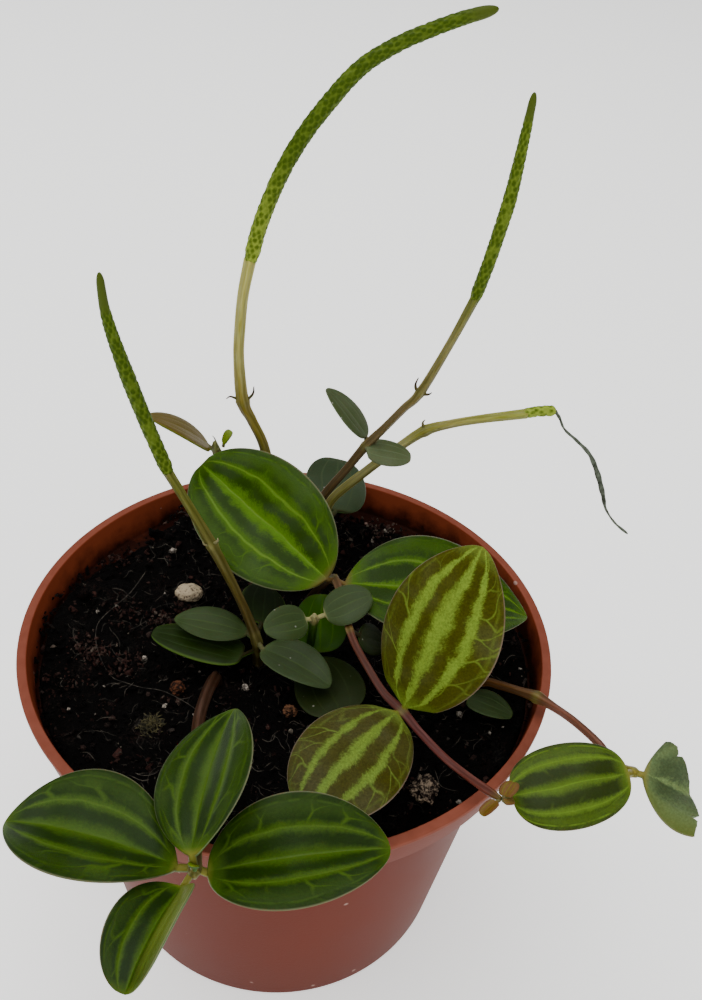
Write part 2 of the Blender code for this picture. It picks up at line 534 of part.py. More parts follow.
def build():
    clear_scene()
    plant = new_collection("potted_beetle_peperomia")
    helpers = new_collection("cutters_and_helpers")
    helpers.hide_render = True

    terracotta = material("terracotta_plastic", (138, 78, 60), 0.45)
    earth = material("potting_soil", (34, 26, 22), 0.95)
    clay = material("clay_granule", (176, 158, 134), 0.9)
    red_stem = material("red_brown_stem", (112, 62, 44), 0.5)
    khaki_stem = material("khaki_flower_stem", (134, 132, 70), 0.5)
    spike_green = material("green_flower_spike", (84, 112, 38), 0.6)
    dried = material("dried_spike", (66, 70, 48), 0.85)
    dark_leaf = material("dark_green_leaf", (46, 78, 30), 0.4)
    bronze_leaf = material("bronze_leaf", (92, 92, 36), 0.45)
    grey_leaf = material("grey_green_leaf", (84, 108, 80), 0.5)
    bright_leaf = material("bright_green_leaf", (104, 140, 48), 0.5)
    olive_leaf = material("olive_brown_leaf", (104, 100, 52), 0.5)

    build_pot(terracotta, plant, helpers)
    feet = [(points[0][0], points[0][1], radii[0]) for points, radii in STEMS.values()]
    build_soil(earth, plant, helpers, feet)
    build_granule("granule_1", -25.3, 18.0, (5.6, 3.8, 3.4), 12, clay, plant)
    build_granule("granule_2", 29.0, -39.6, (4.4, 4.0, 3.6), 40, clay, plant)
    build_granule("granule_3", 0.9, -18.2, (2.8, 2.4, 2.4), 0, clay, plant)
    build_granule("granule_4", -24.2, -12.6, (3.2, 2.8, 2.4), 60, clay, plant)

    for name, (points, radii) in STEMS.items():
        khaki = name in ("flower_stem_1", "flower_stem_4")
        look = khaki_stem if khaki else red_stem
        stem = place(name, stem_mesh(points, radii), look, plant)
        if name in BRACTS:
            add_bracts(stem, BRACTS[name], look, plant, helpers)
    for name, (points, *radii) in SPIKES.items():
        build_spike(name, points, *radii, spike_green, plant)
    thread = [Vector(p) for p in THREAD]
    place("dried_spike_tail", tube(thread, lambda row, side: THREAD_RADII[row], 6), dried, plant)

    for name, leaf in LARGE_LEAVES.items():
        look = bronze_leaf if name in ("leaf_03", "leaf_04") else dark_leaf
        leaf_object(name, leaf, LEAF_THICKNESS, 9, 6, look, plant)
    special = {"small_leaf_10": bright_leaf, "small_leaf_14": olive_leaf}
    for name, leaf in SMALL_LEAVES.items():
        look = special.get(name, grey_leaf)
        leaf_object(name, leaf, SMALL_LEAF_THICKNESS, 6, 4, look, plant)


build()
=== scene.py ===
"""The looks of a potted beetle peperomia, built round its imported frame: the finer pot, soil,
stems, striped leaves and flower spikes, their finishes, the light and the camera. Shapes are
drawn in millimetres and become metres when a piece is placed."""
import math
import random
from functools import partial

import bmesh
import bpy
from bpy.props import FloatProperty, FloatVectorProperty, IntProperty, PointerProperty
from bpy.types import Operator, Panel, PropertyGroup
from mathutils import Euler, Matrix, Vector, noise


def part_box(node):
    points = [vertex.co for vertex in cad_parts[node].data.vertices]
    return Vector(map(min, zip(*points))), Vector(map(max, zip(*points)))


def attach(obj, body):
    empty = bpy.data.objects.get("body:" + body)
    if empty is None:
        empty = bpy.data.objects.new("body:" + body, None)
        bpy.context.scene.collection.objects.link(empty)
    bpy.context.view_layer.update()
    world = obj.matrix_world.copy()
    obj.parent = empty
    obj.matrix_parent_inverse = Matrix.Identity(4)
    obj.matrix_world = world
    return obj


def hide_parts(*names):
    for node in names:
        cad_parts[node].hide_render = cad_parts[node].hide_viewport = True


bl_info = {
    "name": "Potted beetle peperomia",
    "version": (1, 0, 0),
    "blender": (4, 5, 0),
    "location": "View3D > Sidebar > Peperomia",
    "description": "Builds a potted beetle peperomia with its finishes, light and camera",
    "category": "Object",
}

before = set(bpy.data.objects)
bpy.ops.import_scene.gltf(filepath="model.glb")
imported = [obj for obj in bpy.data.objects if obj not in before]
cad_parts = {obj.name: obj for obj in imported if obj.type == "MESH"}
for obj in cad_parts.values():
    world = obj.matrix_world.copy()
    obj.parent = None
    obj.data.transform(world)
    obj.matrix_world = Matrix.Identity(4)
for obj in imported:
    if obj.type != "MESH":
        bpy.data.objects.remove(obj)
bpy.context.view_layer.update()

MM = 0.001
BODY = "root"

# Pot, from the frame where its box gives the size
pot_low, pot_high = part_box("pot")
POT_HEIGHT = pot_high.z / MM
RIM_RADIUS = (pot_high.x - pot_low.x) / 2 / MM
RIM_THICKNESS = 2.1
COLLAR_BOTTOM_Z = 75.5
COLLAR_BOTTOM_RADIUS = 58.2
BODY_TOP_RADIUS = 52.9
BASE_RADIUS = 43.0
WALL = 1.3
SHELF_Z = 76.3
FLOOR_Z = 2.6
RECESS = 1.2
CENTRE_PAD_RADIUS = 10.0
DRAIN_HOLES = 8
DRAIN_HOLE_RADIUS = 4.0
DRAIN_RING_RADIUS = 31.0

# Soil
SOIL_TOP = 75.2
SOIL_EDGE_RISE = 1.8
CLOD_ROUGHNESS, CRUMB_ROUGHNESS = 0.9, 1.3
BARE_SHELF_ANGLES = (68.0, 134.0)
BARE_SHELF_SPREAD = 17.0

# Leaves and stems
STEM_SQUARENESS = 0.12
STEM_SKIN = 1.06
JOINT_REACH = 0.85
JOINT_NEAR = 1.2
JOINT_SWELL = 0.16
SPIKE_ROOT = 0.8
PETIOLE_GAP = 0.1
PETIOLE_HALF_LEAST = 0.35
PETIOLE_HALF_MOST = 0.75
PETIOLE_PER_LENGTH = 1 / 60
PETIOLE_ROOM = 0.35
TIP_HALF = 0.45
# Thickness, and how far the veins sink the blade as a share of VEIN_DEPTHS
SMALL_THICKNESS, BUD_THICKNESS = 0.8, 0.5
LARGE_CREASE, SMALL_CREASE, BUD_CREASE = 0.8, 0.35, 0.2
STALK_FLATNESS = 0.85
STALK_ROWS = 7
MIDRIB, LATERAL, MARGIN = VEIN_PLACES = (0.0, 0.47, 0.87)
VEIN_DEPTHS = (0.2, 0.15, 0.07)
VEIN_WIDTHS = (0.07, 0.06, 0.035)

# Leaves: foot = point on the stem's middle, base = where the blade begins, then heading and
# rise of the midrib, roll about it, length, width, the fullness of the base and tip, the droop
# of the midrib, the cupping and the fold of the halves, in millimetres and degrees
LARGE_LEAVES = {
    "leaf_01": ((9.8, 4.6, 95.5), (8.0, 3.2, 96.8), 142, 20, 34, 43.5, 29, 0.55, 0.64, 19, 20, 26),
    "leaf_02": ((9.8, 4.6, 95.5), (12.0, 1.5, 97.0), -5, 7, -9, 43, 29.5, 0.76, 0.95, 31, 7, 12),
    "leaf_03": ((23.8, -29.4, 91.0), (24.0, -29.2, 91.5), 42, 71, -9, 38, 25.5, 0.69, 0.75, 20, 12, -2),
    "leaf_04": ((23.8, -29.4, 91.0), (22.4, -29.9, 91.0), 237, 19, 9, 32, 21.5, 0.6, 0.54, 29, 2, -5),
    "leaf_05": ((-14.3, -66.9, 93.0), (-17.6, -66.2, 91.8), 166, 22, -7, 31.5, 24.5, 0.92, 0.83, 34, 5, 20),
    "leaf_06": ((-14.2, -68.0, 94.0), (-14.5, -67.8, 98.0), 87, 21, 32, 29, 20.5, 0.81, 0.94, 27, 19, 19),
    "leaf_07": ((-14.3, -66.9, 93.0), (-12.0, -67.3, 92.2), 0, 26, -14, 32, 21.5, 0.68, 0.73, 34, 16, 30),
    "leaf_08": ((-14.3, -66.9, 93.0), (-16.2, -69.6, 91.2), 246, 21, -23, 20.9, 16, 0.52, 0.55, 30, -17, 29),
    "leaf_09": ((69.8, -39.8, 87.2), (67.9, -41.8, 89.3), 193, 1, 22, 24, 17.4, 0.45, 0.43, 18, 36, 7),
    "leaf_10": ((69.8, -39.8, 87.2), (71.8, -40.6, 87.4), -20, -3, 2, 25.5, 24.4, 0.688, 0.58, 29, 12, 14),
}
TORN_LEAF = "leaf_10"
# Where the torn leaf ends: shares across, then along the blade
TEAR = ((-1.0, 0.388), (-0.98, 0.406), (-0.76, 0.423), (-0.62, 0.432), (-0.59, 0.388), (-0.56, 0.362),
        (-0.53, 0.42), (-0.46, 0.449), (-0.24, 0.423), (0.16, 0.353), (0.38, 0.3), (0.46, 0.274),
        (0.49, 0.23), (0.52, 0.239), (0.66, 0.222), (0.84, 0.169), (0.96, 0.134), (1.0, 0.12))
# How wide its upper and its lower half are: at the base, and what each blade length adds
TORN_UPPER = (1.256, 1.39)
TORN_LOWER = (1.701, -1.771)
SMALL_LEAVES = {
    "small_leaf_01": ((16.3, 33.0, 113.0), (16.3, 35.3, 114.0), 150, 49, -9, 15, 9.3, 0.57, 0.77, 18, 11, 8),
    "small_leaf_02": ((16.3, 33.0, 113.0), (16.2, 31.6, 113.2), -4, -2, -14, 11.2, 8.3, 0.43, 0.56, 15, 20,
                      1),
    "small_leaf_03": ((8.1, 32.3, 90.0), (10.5, 36.6, 89.8), 88, 9, -12, 20, 16.8, 0.4, 0.38, 5, 20, 1),
    "small_leaf_04": ((-7.2, -3.8, 83.5), (-9.5, -2.2, 84.2), 172, 16, 2, 17, 10, 0.78, 0.85, 22, 12, 7),
    "small_leaf_05": ((-7.1, -3.4, 80.5), (-10.2, -6.0, 81.0), 167, 9, -3, 21.5, 11, 0.36, 0.52, 9, 12, 3),
    "small_leaf_06": ((5.3, -7.0, 94.3), (3.4, -8.2, 95.2), 217, 18, 34, 10.5, 8, 0.46, 0.61, 17, 17, 14),
    "small_leaf_07": ((-7.2, -3.8, 83.5), (-5.6, -7.0, 84.0), -33, 13, -3, 18, 11, 0.59, 0.7, 31, 14, 24),
    "small_leaf_08": ((5.3, -7.0, 94.3), (7.6, -7.6, 96.2), 11, 30, -23, 11, 9, 0.51, 0.61, 20, 13, 8),
    "small_leaf_09": ((-7.4, -3.6, 85.5), (-6.4, -1.0, 86.2), 86, 2, -20, 15, 11.5, 0.43, 0.57, 20, 12, 4),
    "small_leaf_10": ((5.1, -0.6, 78.0), (7.3, -1.0, 77.8), 92, 76, 4, 14.8, 12.5, 0.42, 0.45, 8, 8, 3),
    "small_leaf_11": ((5.1, -0.6, 78.0), (6.4, -3.4, 77.8), -74, 11, -8, 19.5, 15.5, 0.55, 0.36, 6, 5, 6),
    "small_leaf_12": ((13.4, -11.0, 95.0), (15.2, -10.4, 93.2), 23, -37, -38, 9.5, 7, 0.44, 0.66, 15, 11, 7),
    "small_leaf_13": ((38.8, -12.5, 79.8), (40.2, -15.4, 79.6), -26, 4, -2, 10.5, 7.5, 0.46, 0.69, 9, 1, 20),
    "small_leaf_14": ((-19.4, 35.4, 107.5), (-21.8, 36.2, 108.8), 215, 51, 15, 19.5, 9, 0.38, 0.76, 21, 3, 6),
}
# Buds: the half-open leaflets at the ends of the shoots
BUD_LEAVES = {
    "stem_b_bud_1": ((41.6, -48.6, 89.4), (41.3, -48.8, 89.2), 213, -6, -25, 4.6, 3.3, 0.5, 0.42, 20, 60, 30),
    "stem_b_bud_2": ((41.6, -48.6, 89.4), (42.3, -48.5, 89.4), 62, 24, 30, 4.1, 4.2, 0.6, 0.5, 30, 60, 25),
    "stem_b_bud_3": ((41.6, -48.6, 89.4), (41.8, -49.2, 89.3), 20, -4, -10, 3.0, 2.2, 0.5, 0.5, 30, 50, 30),
    "shoot_f_bud": ((-17.9, 35.4, 108.6), (-17.8, 35.6, 109.4), 3, 80, -45, 4.3, 2.4, 0.95, 0.4, 50, 20, 20),
    "stem_a_bud": ((-14.2, -68.5, 94.6), (-14.0, -68.4, 95.9), 250, 60, 0, 2.6, 2.2, 0.5, 0.5, 10, 40, 30),
}

# Stem lines: points in millimetres, the first two standing in the soil, and their radii
STEMS = {
    "stem_a": (
        ((-16, -9.5, 66), (-16, -9.5, 76.5), (-16.4, -12.5, 79.4), (-17.3, -19.4, 82), (-17.8, -28.7, 84.8),
         (-16.8, -43.6, 89), (-15.3, -55.7, 91.8), (-14.3, -66.9, 93), (-14.2, -68.5, 94.6)),
        (1.2, 1.2, 1.25, 1.15, 1.1, 1.05, 1.0, 0.95, 0.5)),
    "stem_b": (
        ((4, 14, 66), (4, 14, 76.5), (5.6, 11, 85), (9.8, 4.6, 95.5), (12.6, -9.2, 95.3),
         (14.1, -14.5, 94.6), (17.2, -20.7, 93.2), (20.2, -26, 92.2), (23.8, -29.4, 91),
         (27.1, -33.9, 90.2), (31.7, -39.5, 89.5), (36.3, -43.7, 89), (39.8, -46.8, 89),
         (41.6, -48.6, 89.4)),
        (1.0, 1.0, 0.95, 0.95, 0.82, 0.82, 0.82, 0.85, 0.95, 0.82, 0.8, 0.78, 0.85, 0.5)),
    "stem_c": (
        ((36, -11.5, 66), (36, -11.5, 76.4), (38.9, -12.6, 80.4), (43.6, -14.8, 84.6), (46.5, -16.4, 85.4),
         (50.1, -19.5, 87.2), (53.2, -21.9, 88.2), (56.7, -24.5, 88), (60.7, -27.1, 86.8),
         (65.2, -31.4, 85.3), (67.3, -36.2, 85.1), (69.8, -39.8, 87.2), (70.2, -40.8, 87.6)),
        (0.9, 0.9, 0.9, 0.85, 0.85, 0.85, 1.1, 0.8, 0.76, 0.76, 0.78, 0.95, 0.6)),
    "shoot_e": (
        ((5, 0, 66), (5, 0, 76.8), (5.2, -3, 86), (5.3, -7, 94.3), (5.3, -8, 96.2)),
        (0.85, 0.85, 0.85, 0.9, 0.45)),
    "shoot_f": (
        ((-11, 34, 66), (-11, 34, 76.3), (-15, 35, 92), (-19.2, 35.4, 107), (-19.8, 35.3, 110.5)),
        (0.9, 0.9, 0.85, 0.9, 0.45)),
    "flower_stem_1": (
        ((-2.5, 34.5, 66), (-2.5, 34.5, 76.5), (-5, 35, 93), (-7.8, 35.4, 109), (-11, 35.6, 117),
         (-13.1, 34.8, 122.7), (-14, 34.3, 134), (-13.8, 34.4, 141.5), (-13.1, 34.5, 150),
         (-11.8, 34.9, 157.3)),
        (1.2, 1.2, 1.1, 1.05, 1.05, 1.25, 1.05, 1.05, 1.05, 1.15)),
    "flower_stem_2": (
        ((2.5, 31.5, 66), (2.5, 31.5, 76.5), (4.6, 31.8, 90), (6.9, 31.9, 98), (11.8, 32.2, 106),
         (16.3, 33, 113), (20.5, 32.9, 118.8), (24.1, 32, 124.6), (27.5, 31.9, 129.3), (32.6, 31.9, 142),
         (36.5, 32.4, 152.6)),
        (1.0, 1.0, 0.95, 0.95, 0.9, 1.0, 0.85, 0.85, 0.95, 0.85, 0.95)),
    "flower_stem_3": (
        ((-7, -3, 66), (-7, -3, 76.3), (-7.3, -4, 84), (-11.3, -0.6, 93.4), (-17.7, 3.8, 105),
         (-22.5, 6.5, 113), (-26.9, 8.2, 120.6)),
        (1.0, 1.0, 1.05, 0.9, 1.1, 0.9, 1.0)),
    "flower_stem_4": (
        ((7.5, 29, 66), (7.5, 29, 76.5), (8, 32, 89), (9, 34, 95.2), (17.1, 37.5, 102),
         (25.5, 41.4, 107.5), (31.4, 42.9, 111.5), (37.4, 43.4, 113.5), (44.8, 44, 115), (55.8, 45.8, 116)),
        (1.1, 1.1, 1.05, 1.0, 1.0, 1.0, 1.15, 0.95, 0.95, 1.1)),
}
# Stem colours, each from the point with that number on
STEM_TINTS = {
    "stem_a": ((0, "1E1206"), (4, "402A1E"), (6, "523C26"), (8, "66642E")),
    "stem_b": ((0, "2A2412"), (3, "5A4630"), (4, "4E2616"), (6, "48281E"), (9, "502824"), (12, "54281C"),
               (13, "56481A")),
    "stem_c": ((0, "3A2A0C"), (4, "4A2E12"), (6, "5A3E22"), (7, "6A4030"), (10, "5C3826"), (11, "7A7220")),
    "shoot_e": ((0, "1A2C06"), (2, "2A4A0A"), (2.7, "3A5A10"), (3, "8C8658"), (4, "8C8658")),
    "shoot_f": ((0, "2C2A0C"), (3, "565A2A"), (4, "6A6C3A")),
    "flower_stem_1": ((0, "3A3410"), (3, "6A601E"), (5, "766824"), (6, "948E4A"), (9, "A09C50")),
    "flower_stem_2": ((0, "26220A"), (4, "4C3C22"), (7, "665836"), (8, "665E2E"), (9, "726C3A"),
                      (10, "5C6024")),
    "flower_stem_3": ((0, "2A240C"), (3, "4A3E18"), (4, "545020"), (6, "5E6020")),
    "flower_stem_4": ((0, "36320E"), (3, "66622E"), (5, "807C46"), (6, "6E6E26"), (7, "868040"),
                      (9, "828632")),
}
# Scales: half the width on flower stems and on leafy ones, how much longer than its line each one
# is, and the lines themselves
BRACT_HALF = 0.55
STIPULE_HALF = 0.3
BRACT_STRETCH = 1.15
BRACTS = {
    "flower_stem_1": (
        ((-13.1, 34.8, 122.7), (-14.5, 34.4, 123.6), (-15.6, 34.3, 124), (-16.4, 34.3, 123.4)),
        ((-13.1, 34.8, 122.7), (-11.8, 34.6, 123.7), (-11.0, 34.5, 125), (-10.9, 34.5, 126.5))),
    "flower_stem_2": (
        ((27.5, 31.9, 129.3), (26.6, 31.7, 130.1), (26.3, 31.6, 131.3), (26.7, 31.6, 132.8)),
        ((27.5, 31.9, 129.3), (28.4, 31.6, 129.1), (29.2, 31.5, 129.2), (29.7, 31.4, 129.7))),
    "flower_stem_3": (
        ((-17.7, 3.8, 105), (-18.6, 3.2, 105.4), (-19.1, 2.9, 105.9), (-19.3, 2.8, 106.6)),
        ((-17.7, 3.8, 105), (-16.8, 3.3, 106.2), (-16.5, 3.1, 106.8), (-16.5, 3.1, 107.4))),
    "flower_stem_4": (
        ((31.4, 42.9, 111.5), (30.9, 42.8, 112.7), (30.7, 42.8, 113.7), (31.1, 42.8, 114.4)),
        ((31.4, 42.9, 111.5), (32.7, 42.4, 112.0), (34.0, 42.3, 112.6), (35.2, 42.4, 113.0))),
    "shoot_f": (
        ((-19.0, 34.6, 108.6), (-19.4, 35.6, 109.6), (-19.9, 37.0, 109.9), (-20.5, 38.4, 109.6)),),
}
# Spikes: line, radius at the base, middle and tip, the share of the tip that is smooth, how pale
# the skin is at the foot and from a third of the way on, and how pointed the tip is
SPIKES = {
    "flower_spike_1": (
        ((-11.6, 35, 157.8), (-9.7, 36.1, 165.4), (-6.3, 37.3, 174.5), (-2.1, 39, 182.3), (3.1, 41, 189.3),
         (9, 43, 195.7), (15.5, 44.2, 200), (22.2, 44.7, 203.2), (28.4, 44.6, 205.8), (34.8, 44.4, 207.9)),
        1.55, 1.62, 1.2, 0.075, 1.0, 0.1, 3.2),
    "flower_spike_2": (
        ((36.7, 32.5, 153), (38.6, 33.2, 161.4), (40, 34.4, 168), (41.2, 35.6, 174), (41.9, 36.5, 180.4),
         (42.4, 37, 187), (42.9, 37.5, 195)),
        1.3, 1.38, 0.75, 0.12, 0.2, 0.3, 3.2),
    "flower_spike_3": (
        ((-27.1, 8.3, 121), (-30.6, 9.9, 130), (-33.6, 11.2, 138.6), (-36.4, 12, 148), (-38.2, 12.4, 156),
         (-38.8, 12.8, 164)),
        1.4, 1.5, 0.75, 0.17, 0.35, 0.15, 3.2),
    "flower_spike_4": (((55.4, 45.9, 116), (60, 46.6, 116.5), (64.2, 47.4, 116.4)), 1.2, 1.28, 1.3, 0.05,
                       1.3, 1.3, 1.0),
}
# The withered end of the fourth spike: its line and radii
THREAD = (
    (63.8, 47.4, 116.5), (65.4, 47, 114.6), (67, 45.8, 112), (70.7, 45.4, 109), (74.6, 44.5, 105.5),
    (77.2, 42.4, 101), (79.5, 41.2, 95.5), (81, 40.4, 91.5), (84.7, 41, 86.5), (89, 40.9, 83))
THREAD_RADII = (0.5, 0.5, 0.48, 0.45, 0.5, 0.62, 0.6, 0.45, 0.4, 0.36)

# Camera: its place in millimetres, then how it looks down, turns and tilts, in degrees
CAMERA_PLACE = (0.0, -164.64, 250.09)
CAMERA_DOWN = 37.79
CAMERA_TURN = -4.02
CAMERA_TILT = 4.98

# Light: the place in metres that the lamps face, and the front one's share of the power above
LIT_PLACE = (0.0, 0.0, 0.09)
FILL_SHARE = 0.2


def linear(code):
    """The linear colour, with alpha, of an sRGB hex value."""
    parts = [int(code[i:i + 2], 16) / 255 for i in (0, 2, 4)]
    return tuple(c / 12.92 if c <= 0.04045 else ((c + 0.055) / 1.055) ** 2.4 for c in parts) + (1.0,)


def colour(label, about, code):
    """A colour setting; its usual value is an sRGB hex value."""
    return FloatVectorProperty(name=label, description=about, subtype="COLOR", size=4,
                               min=0.0, max=1.0, default=linear(code))


# Settings
class PEPEROMIA_PG_pot(PropertyGroup):
    """The nursery pot"""
    segments: IntProperty(name="Segments", description="Flat faces round the pot", default=192, min=48)
    plastic: colour("Plastic", "Terracotta-coloured plastic", "5A1C06")
    faded: colour("Faded plastic", "Where the plastic is paler", "60220E")
    inner: colour("Inner wall", "The inner wall, warmed by the light through it", "7C3822")
    # The rim's colour serves both its wear and a painted highlight on its top
    rim_wear_and_highlight: colour("Rubbed rim", "The rim, where handling has dulled it", "804636")
    # This colour serves both the dried soil and the painted shade on the inner wall
    dried_soil_and_shade: colour("Soiled wall", "Dried soil on the inner wall", "100806")
    scale: colour("Lime scale", "Dried water spots on the plastic", "A08478")


class PEPEROMIA_PG_soil(PropertyGroup):
    """The potting soil and what lies on it"""
    clods: IntProperty(name="Clods", description="Large lumps of soil", default=60, min=0)
    crumbs: IntProperty(name="Crumbs", description="Small crumbs of soil", default=7600, min=0)
    fibres: IntProperty(name="Fibres", description="Short pale fibres", default=1000, min=0)
    seed: IntProperty(name="Seed", description="Another seed scatters them anew", default=7)
    peat: colour("Peat", "The damp peat", "050302")
    bark: colour("Bark", "Reddish-brown bits", "50302A")
    ash: colour("Ash", "Greyish bits", "4A4842")
    straw: colour("Straw", "The palest bits", "8E8474")


class PEPEROMIA_PG_stems(PropertyGroup):
    """The stems"""
    sides: IntProperty(name="Sides", description="Faces round a stem", default=24, min=8)
    joint: colour("Joint", "The pale joints", "6E6A34")
    scale: colour("Scale", "The dried scales at the joints", "2E2818")
    pale_scale: colour("Pale scale", "The papery scales of the third flower stem", "8E8862")
    green_scale: colour("Green scale", "The fresh scales of the fourth flower stem", "5A5A32")


class PEPEROMIA_PG_spikes(PropertyGroup):
    """The flower spikes"""
    cell: FloatProperty(name="Cell", description="Length of one cell", unit="LENGTH",
                        default=1.15 * MM, min=0.4 * MM)
    relief: FloatProperty(name="Relief", description="Height of one cell", unit="LENGTH",
                          default=0.23 * MM, min=0.0)
    young_net: colour("Young net", "Between the cells where the spike is pale", "8A9C34")
    net: colour("Net", "Between the cells", "4A5E12")
    young_cells: colour("Young cells", "The raised cells where the spike is pale", "4A5E0C")
    cells: colour("Cells", "The raised cells", "324606")
    tip: colour("Tip", "The unopened tip", "465216")


class PEPEROMIA_PG_leaves(PropertyGroup):
    """The leaves"""
    rows: IntProperty(name="Rows", description="Rows of faces along a large leaf", default=92, min=20)
    columns: IntProperty(name="Columns", description="Faces across a large leaf", default=76, min=16)
    thickness: FloatProperty(name="Thickness", description="Thickness of a large leaf",
                             unit="LENGTH", default=0.9 * MM, min=0.4 * MM)
    green: colour("Green", "Between the stripes", "223802")
    lime: colour("Lime", "The stripes", "4A6E04")
    bronze: colour("Bronze", "Between the stripes of the bronze leaves", "41410A")
    under: colour("Underside", "The pale underside", "4A6C30")


class PEPEROMIA_PG_stage(PropertyGroup):
    """The floor, the light and the camera"""
    lens: FloatProperty(name="Lens", description="Focal length", unit="CAMERA", default=36.32)
    softbox: FloatProperty(name="Softbox", description="Power of the overhead light", unit="POWER",
                           default=30.0, min=0.0)
    sky: FloatProperty(name="Sky", description="Strength of the light from all round", default=0.3)
    floor: colour("Floor", "The pale floor", "FAFAF8")
    glow: FloatProperty(name="Glow", description="Light from the floor itself", default=0.8, min=0.0)


# Curves and tubes
def through(points, steps):
    """Points along a smooth curve through the given ones, `steps` to each span."""
    nodes = [Vector(p) for p in points]
    ends = [2 * nodes[0] - nodes[1]] + nodes + [2 * nodes[-1] - nodes[-2]]
    found = []
    for i in range(1, len(ends) - 2):
        a, b, c, d = ends[i - 1:i + 3]
        for k in range(steps):
            t = k / steps
            found.append(0.5 * (2 * b + (c - a) * t + (2 * a - 5 * b + 4 * c - d) * t * t
                                + (3 * b - a - 3 * c + d) * t ** 3))
    return found + [nodes[-1]]


def evenly(points, spacing):
    """Points a fixed distance apart along a polyline, and each one's distance from its start."""
    lengths = [0.0]
    for a, b in zip(points, points[1:]):
        lengths.append(lengths[-1] + (b - a).length)
    count = max(2, round(lengths[-1] / spacing))
    found, j = [], 0
    for k in range(count + 1):
        want = lengths[-1] * k / count
        while j < len(points) - 2 and lengths[j + 1] < want:
            j += 1
        t = (want - lengths[j]) / (lengths[j + 1] - lengths[j])
        found.append(points[j].lerp(points[j + 1], t))
    return found, [lengths[-1] * k / count for k in range(count + 1)]


def frames(points):
    """Two directions across the line at each point, carried along without twisting."""
    across = Vector((1.0, 0.0, 0.0))
    found = []
    for i in range(len(points)):
        ahead = (points[min(i + 1, len(points) - 1)] - points[max(i - 1, 0)]).normalized()
        across = (across - across.dot(ahead) * ahead).normalized()
        found.append((across.copy(), ahead.cross(across)))
    return found


def wrapped_grid(columns, rows, *names):
    """A grid whose first and last columns will meet, each vertex's column and row, and the
    layers of the named vector attributes."""
    sheet = bmesh.new()
    for name in names:
        sheet.verts.layers.float_vector.new(name)
    layers = [sheet.verts.layers.float_vector[name] for name in names]
    bmesh.ops.create_grid(sheet, x_segments=columns, y_segments=rows, size=0.5)
    spots = [(v, round((v.co.x + 0.5) * columns) % columns, round((v.co.y + 0.5) * rows))
             for v in sheet.verts]
    return sheet, spots, layers


def close(sheet):
    """Join the seam, cap the ends and turn the faces outwards."""
    bmesh.ops.remove_doubles(sheet, verts=sheet.verts, dist=0.0005)
    bmesh.ops.holes_fill(sheet, edges=[e for e in sheet.edges if e.is_boundary], sides=0)
    bmesh.ops.recalc_face_normals(sheet, faces=sheet.faces)


def tube(points, reach_at, sides, marks):
    """A capped tube. reach_at(row, side) gives the two half widths, and marks is a dict of
    attribute names and the function that gives each one's value from row and side."""
    sheet, spots, layers = wrapped_grid(sides, len(points) - 1, *marks)
    axes = frames(points)
    for vertex, side, row in spots:
        angle = math.tau * side / sides
        one, two = axes[row]
        wide, high = reach_at(row, side)
        vertex.co = points[row] + wide * math.cos(angle) * one + high * math.sin(angle) * two
        for layer, value in zip(layers, marks.values()):
            vertex[layer] = value(row, side)
    close(sheet)
    return sheet


def place(name, sheet, look, slot, *nodes, sharp=None):
    """Turn a shape in millimetres into a piece that rides on the part."""
    bmesh.ops.scale(sheet, vec=(MM, MM, MM), verts=sheet.verts)
    mesh = bpy.data.meshes.new(name)
    sheet.to_mesh(mesh)
    sheet.free()
    for face in mesh.polygons:
        face.use_smooth = True
    if sharp:
        mesh.set_sharp_from_angle(angle=math.radians(sharp))
    mesh.materials.append(look)
    made = bpy.data.objects.new(name, mesh)
    bpy.context.scene.collection.objects.link(made)
    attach(made, BODY)
    if nodes:
        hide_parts(*nodes)
    return made


def joined(sheets):
    """One shape from several, with the attributes that they share."""
    whole = bmesh.new()
    for sheet in sheets:
        mesh = bpy.data.meshes.new("part")
        sheet.to_mesh(mesh)
        sheet.free()
        whole.from_mesh(mesh)
        bpy.data.meshes.remove(mesh)
    return whole


# Materials
def new_material(name, roughness, ior=1.45):
    """A material, the function that adds a node to it, and its shader."""
    made = bpy.data.materials.new(name)
    made.use_nodes = True
    shader = made.node_tree.nodes["Principled BSDF"]
    fill(shader, {"Roughness": roughness, "IOR": ior})
    return made, partial(add_node, made.node_tree), shader


def fill(node, values):
    """Set or link the inputs of a node."""
    for key, value in values.items():
        if isinstance(value, bpy.types.NodeSocket):
            node.id_data.links.new(value, node.inputs[key])
        else:
            node.inputs[key].default_value = value


# Each kind of node in the materials: Blender's name for it, the inputs that are filled in order,
# the output that is returned (all three of "split"), and its settings. Any other kind is an
# operation of the Math node.
KINDS = {
    "attribute": ("Attribute", (), "Vector", {}),
    "blend": ("Mix", (0, 6, 7), 2, {"data_type": "RGBA"}),
    "bump": ("Bump", ("Height", "Strength", "Distance"), 0, {}),
    "cells": ("TexVoronoi", ("Vector", "Scale"), "Distance", {}),
    "chance": ("TexWhiteNoise", ("Vector",), "Value", {}),
    "join": ("CombineXYZ", (0, 1, 2), 0, {}),
    "length": ("VectorMath", (0,), "Value", {"operation": "LENGTH"}),
    "noise": ("TexNoise", ("Vector", "Scale", "Detail", "Roughness"), "Fac", {}),
    "span": ("MapRange", ("Value", "From Min", "From Max", "To Min", "To Max"), 0, {}),
    "split": ("SeparateXYZ", (0,), slice(None), {}),
    "spot": ("TexCoord", (), "Object", {}),
    "tone": ("HueSaturation", ("Color", "Value", "Saturation"), 0, {}),
}


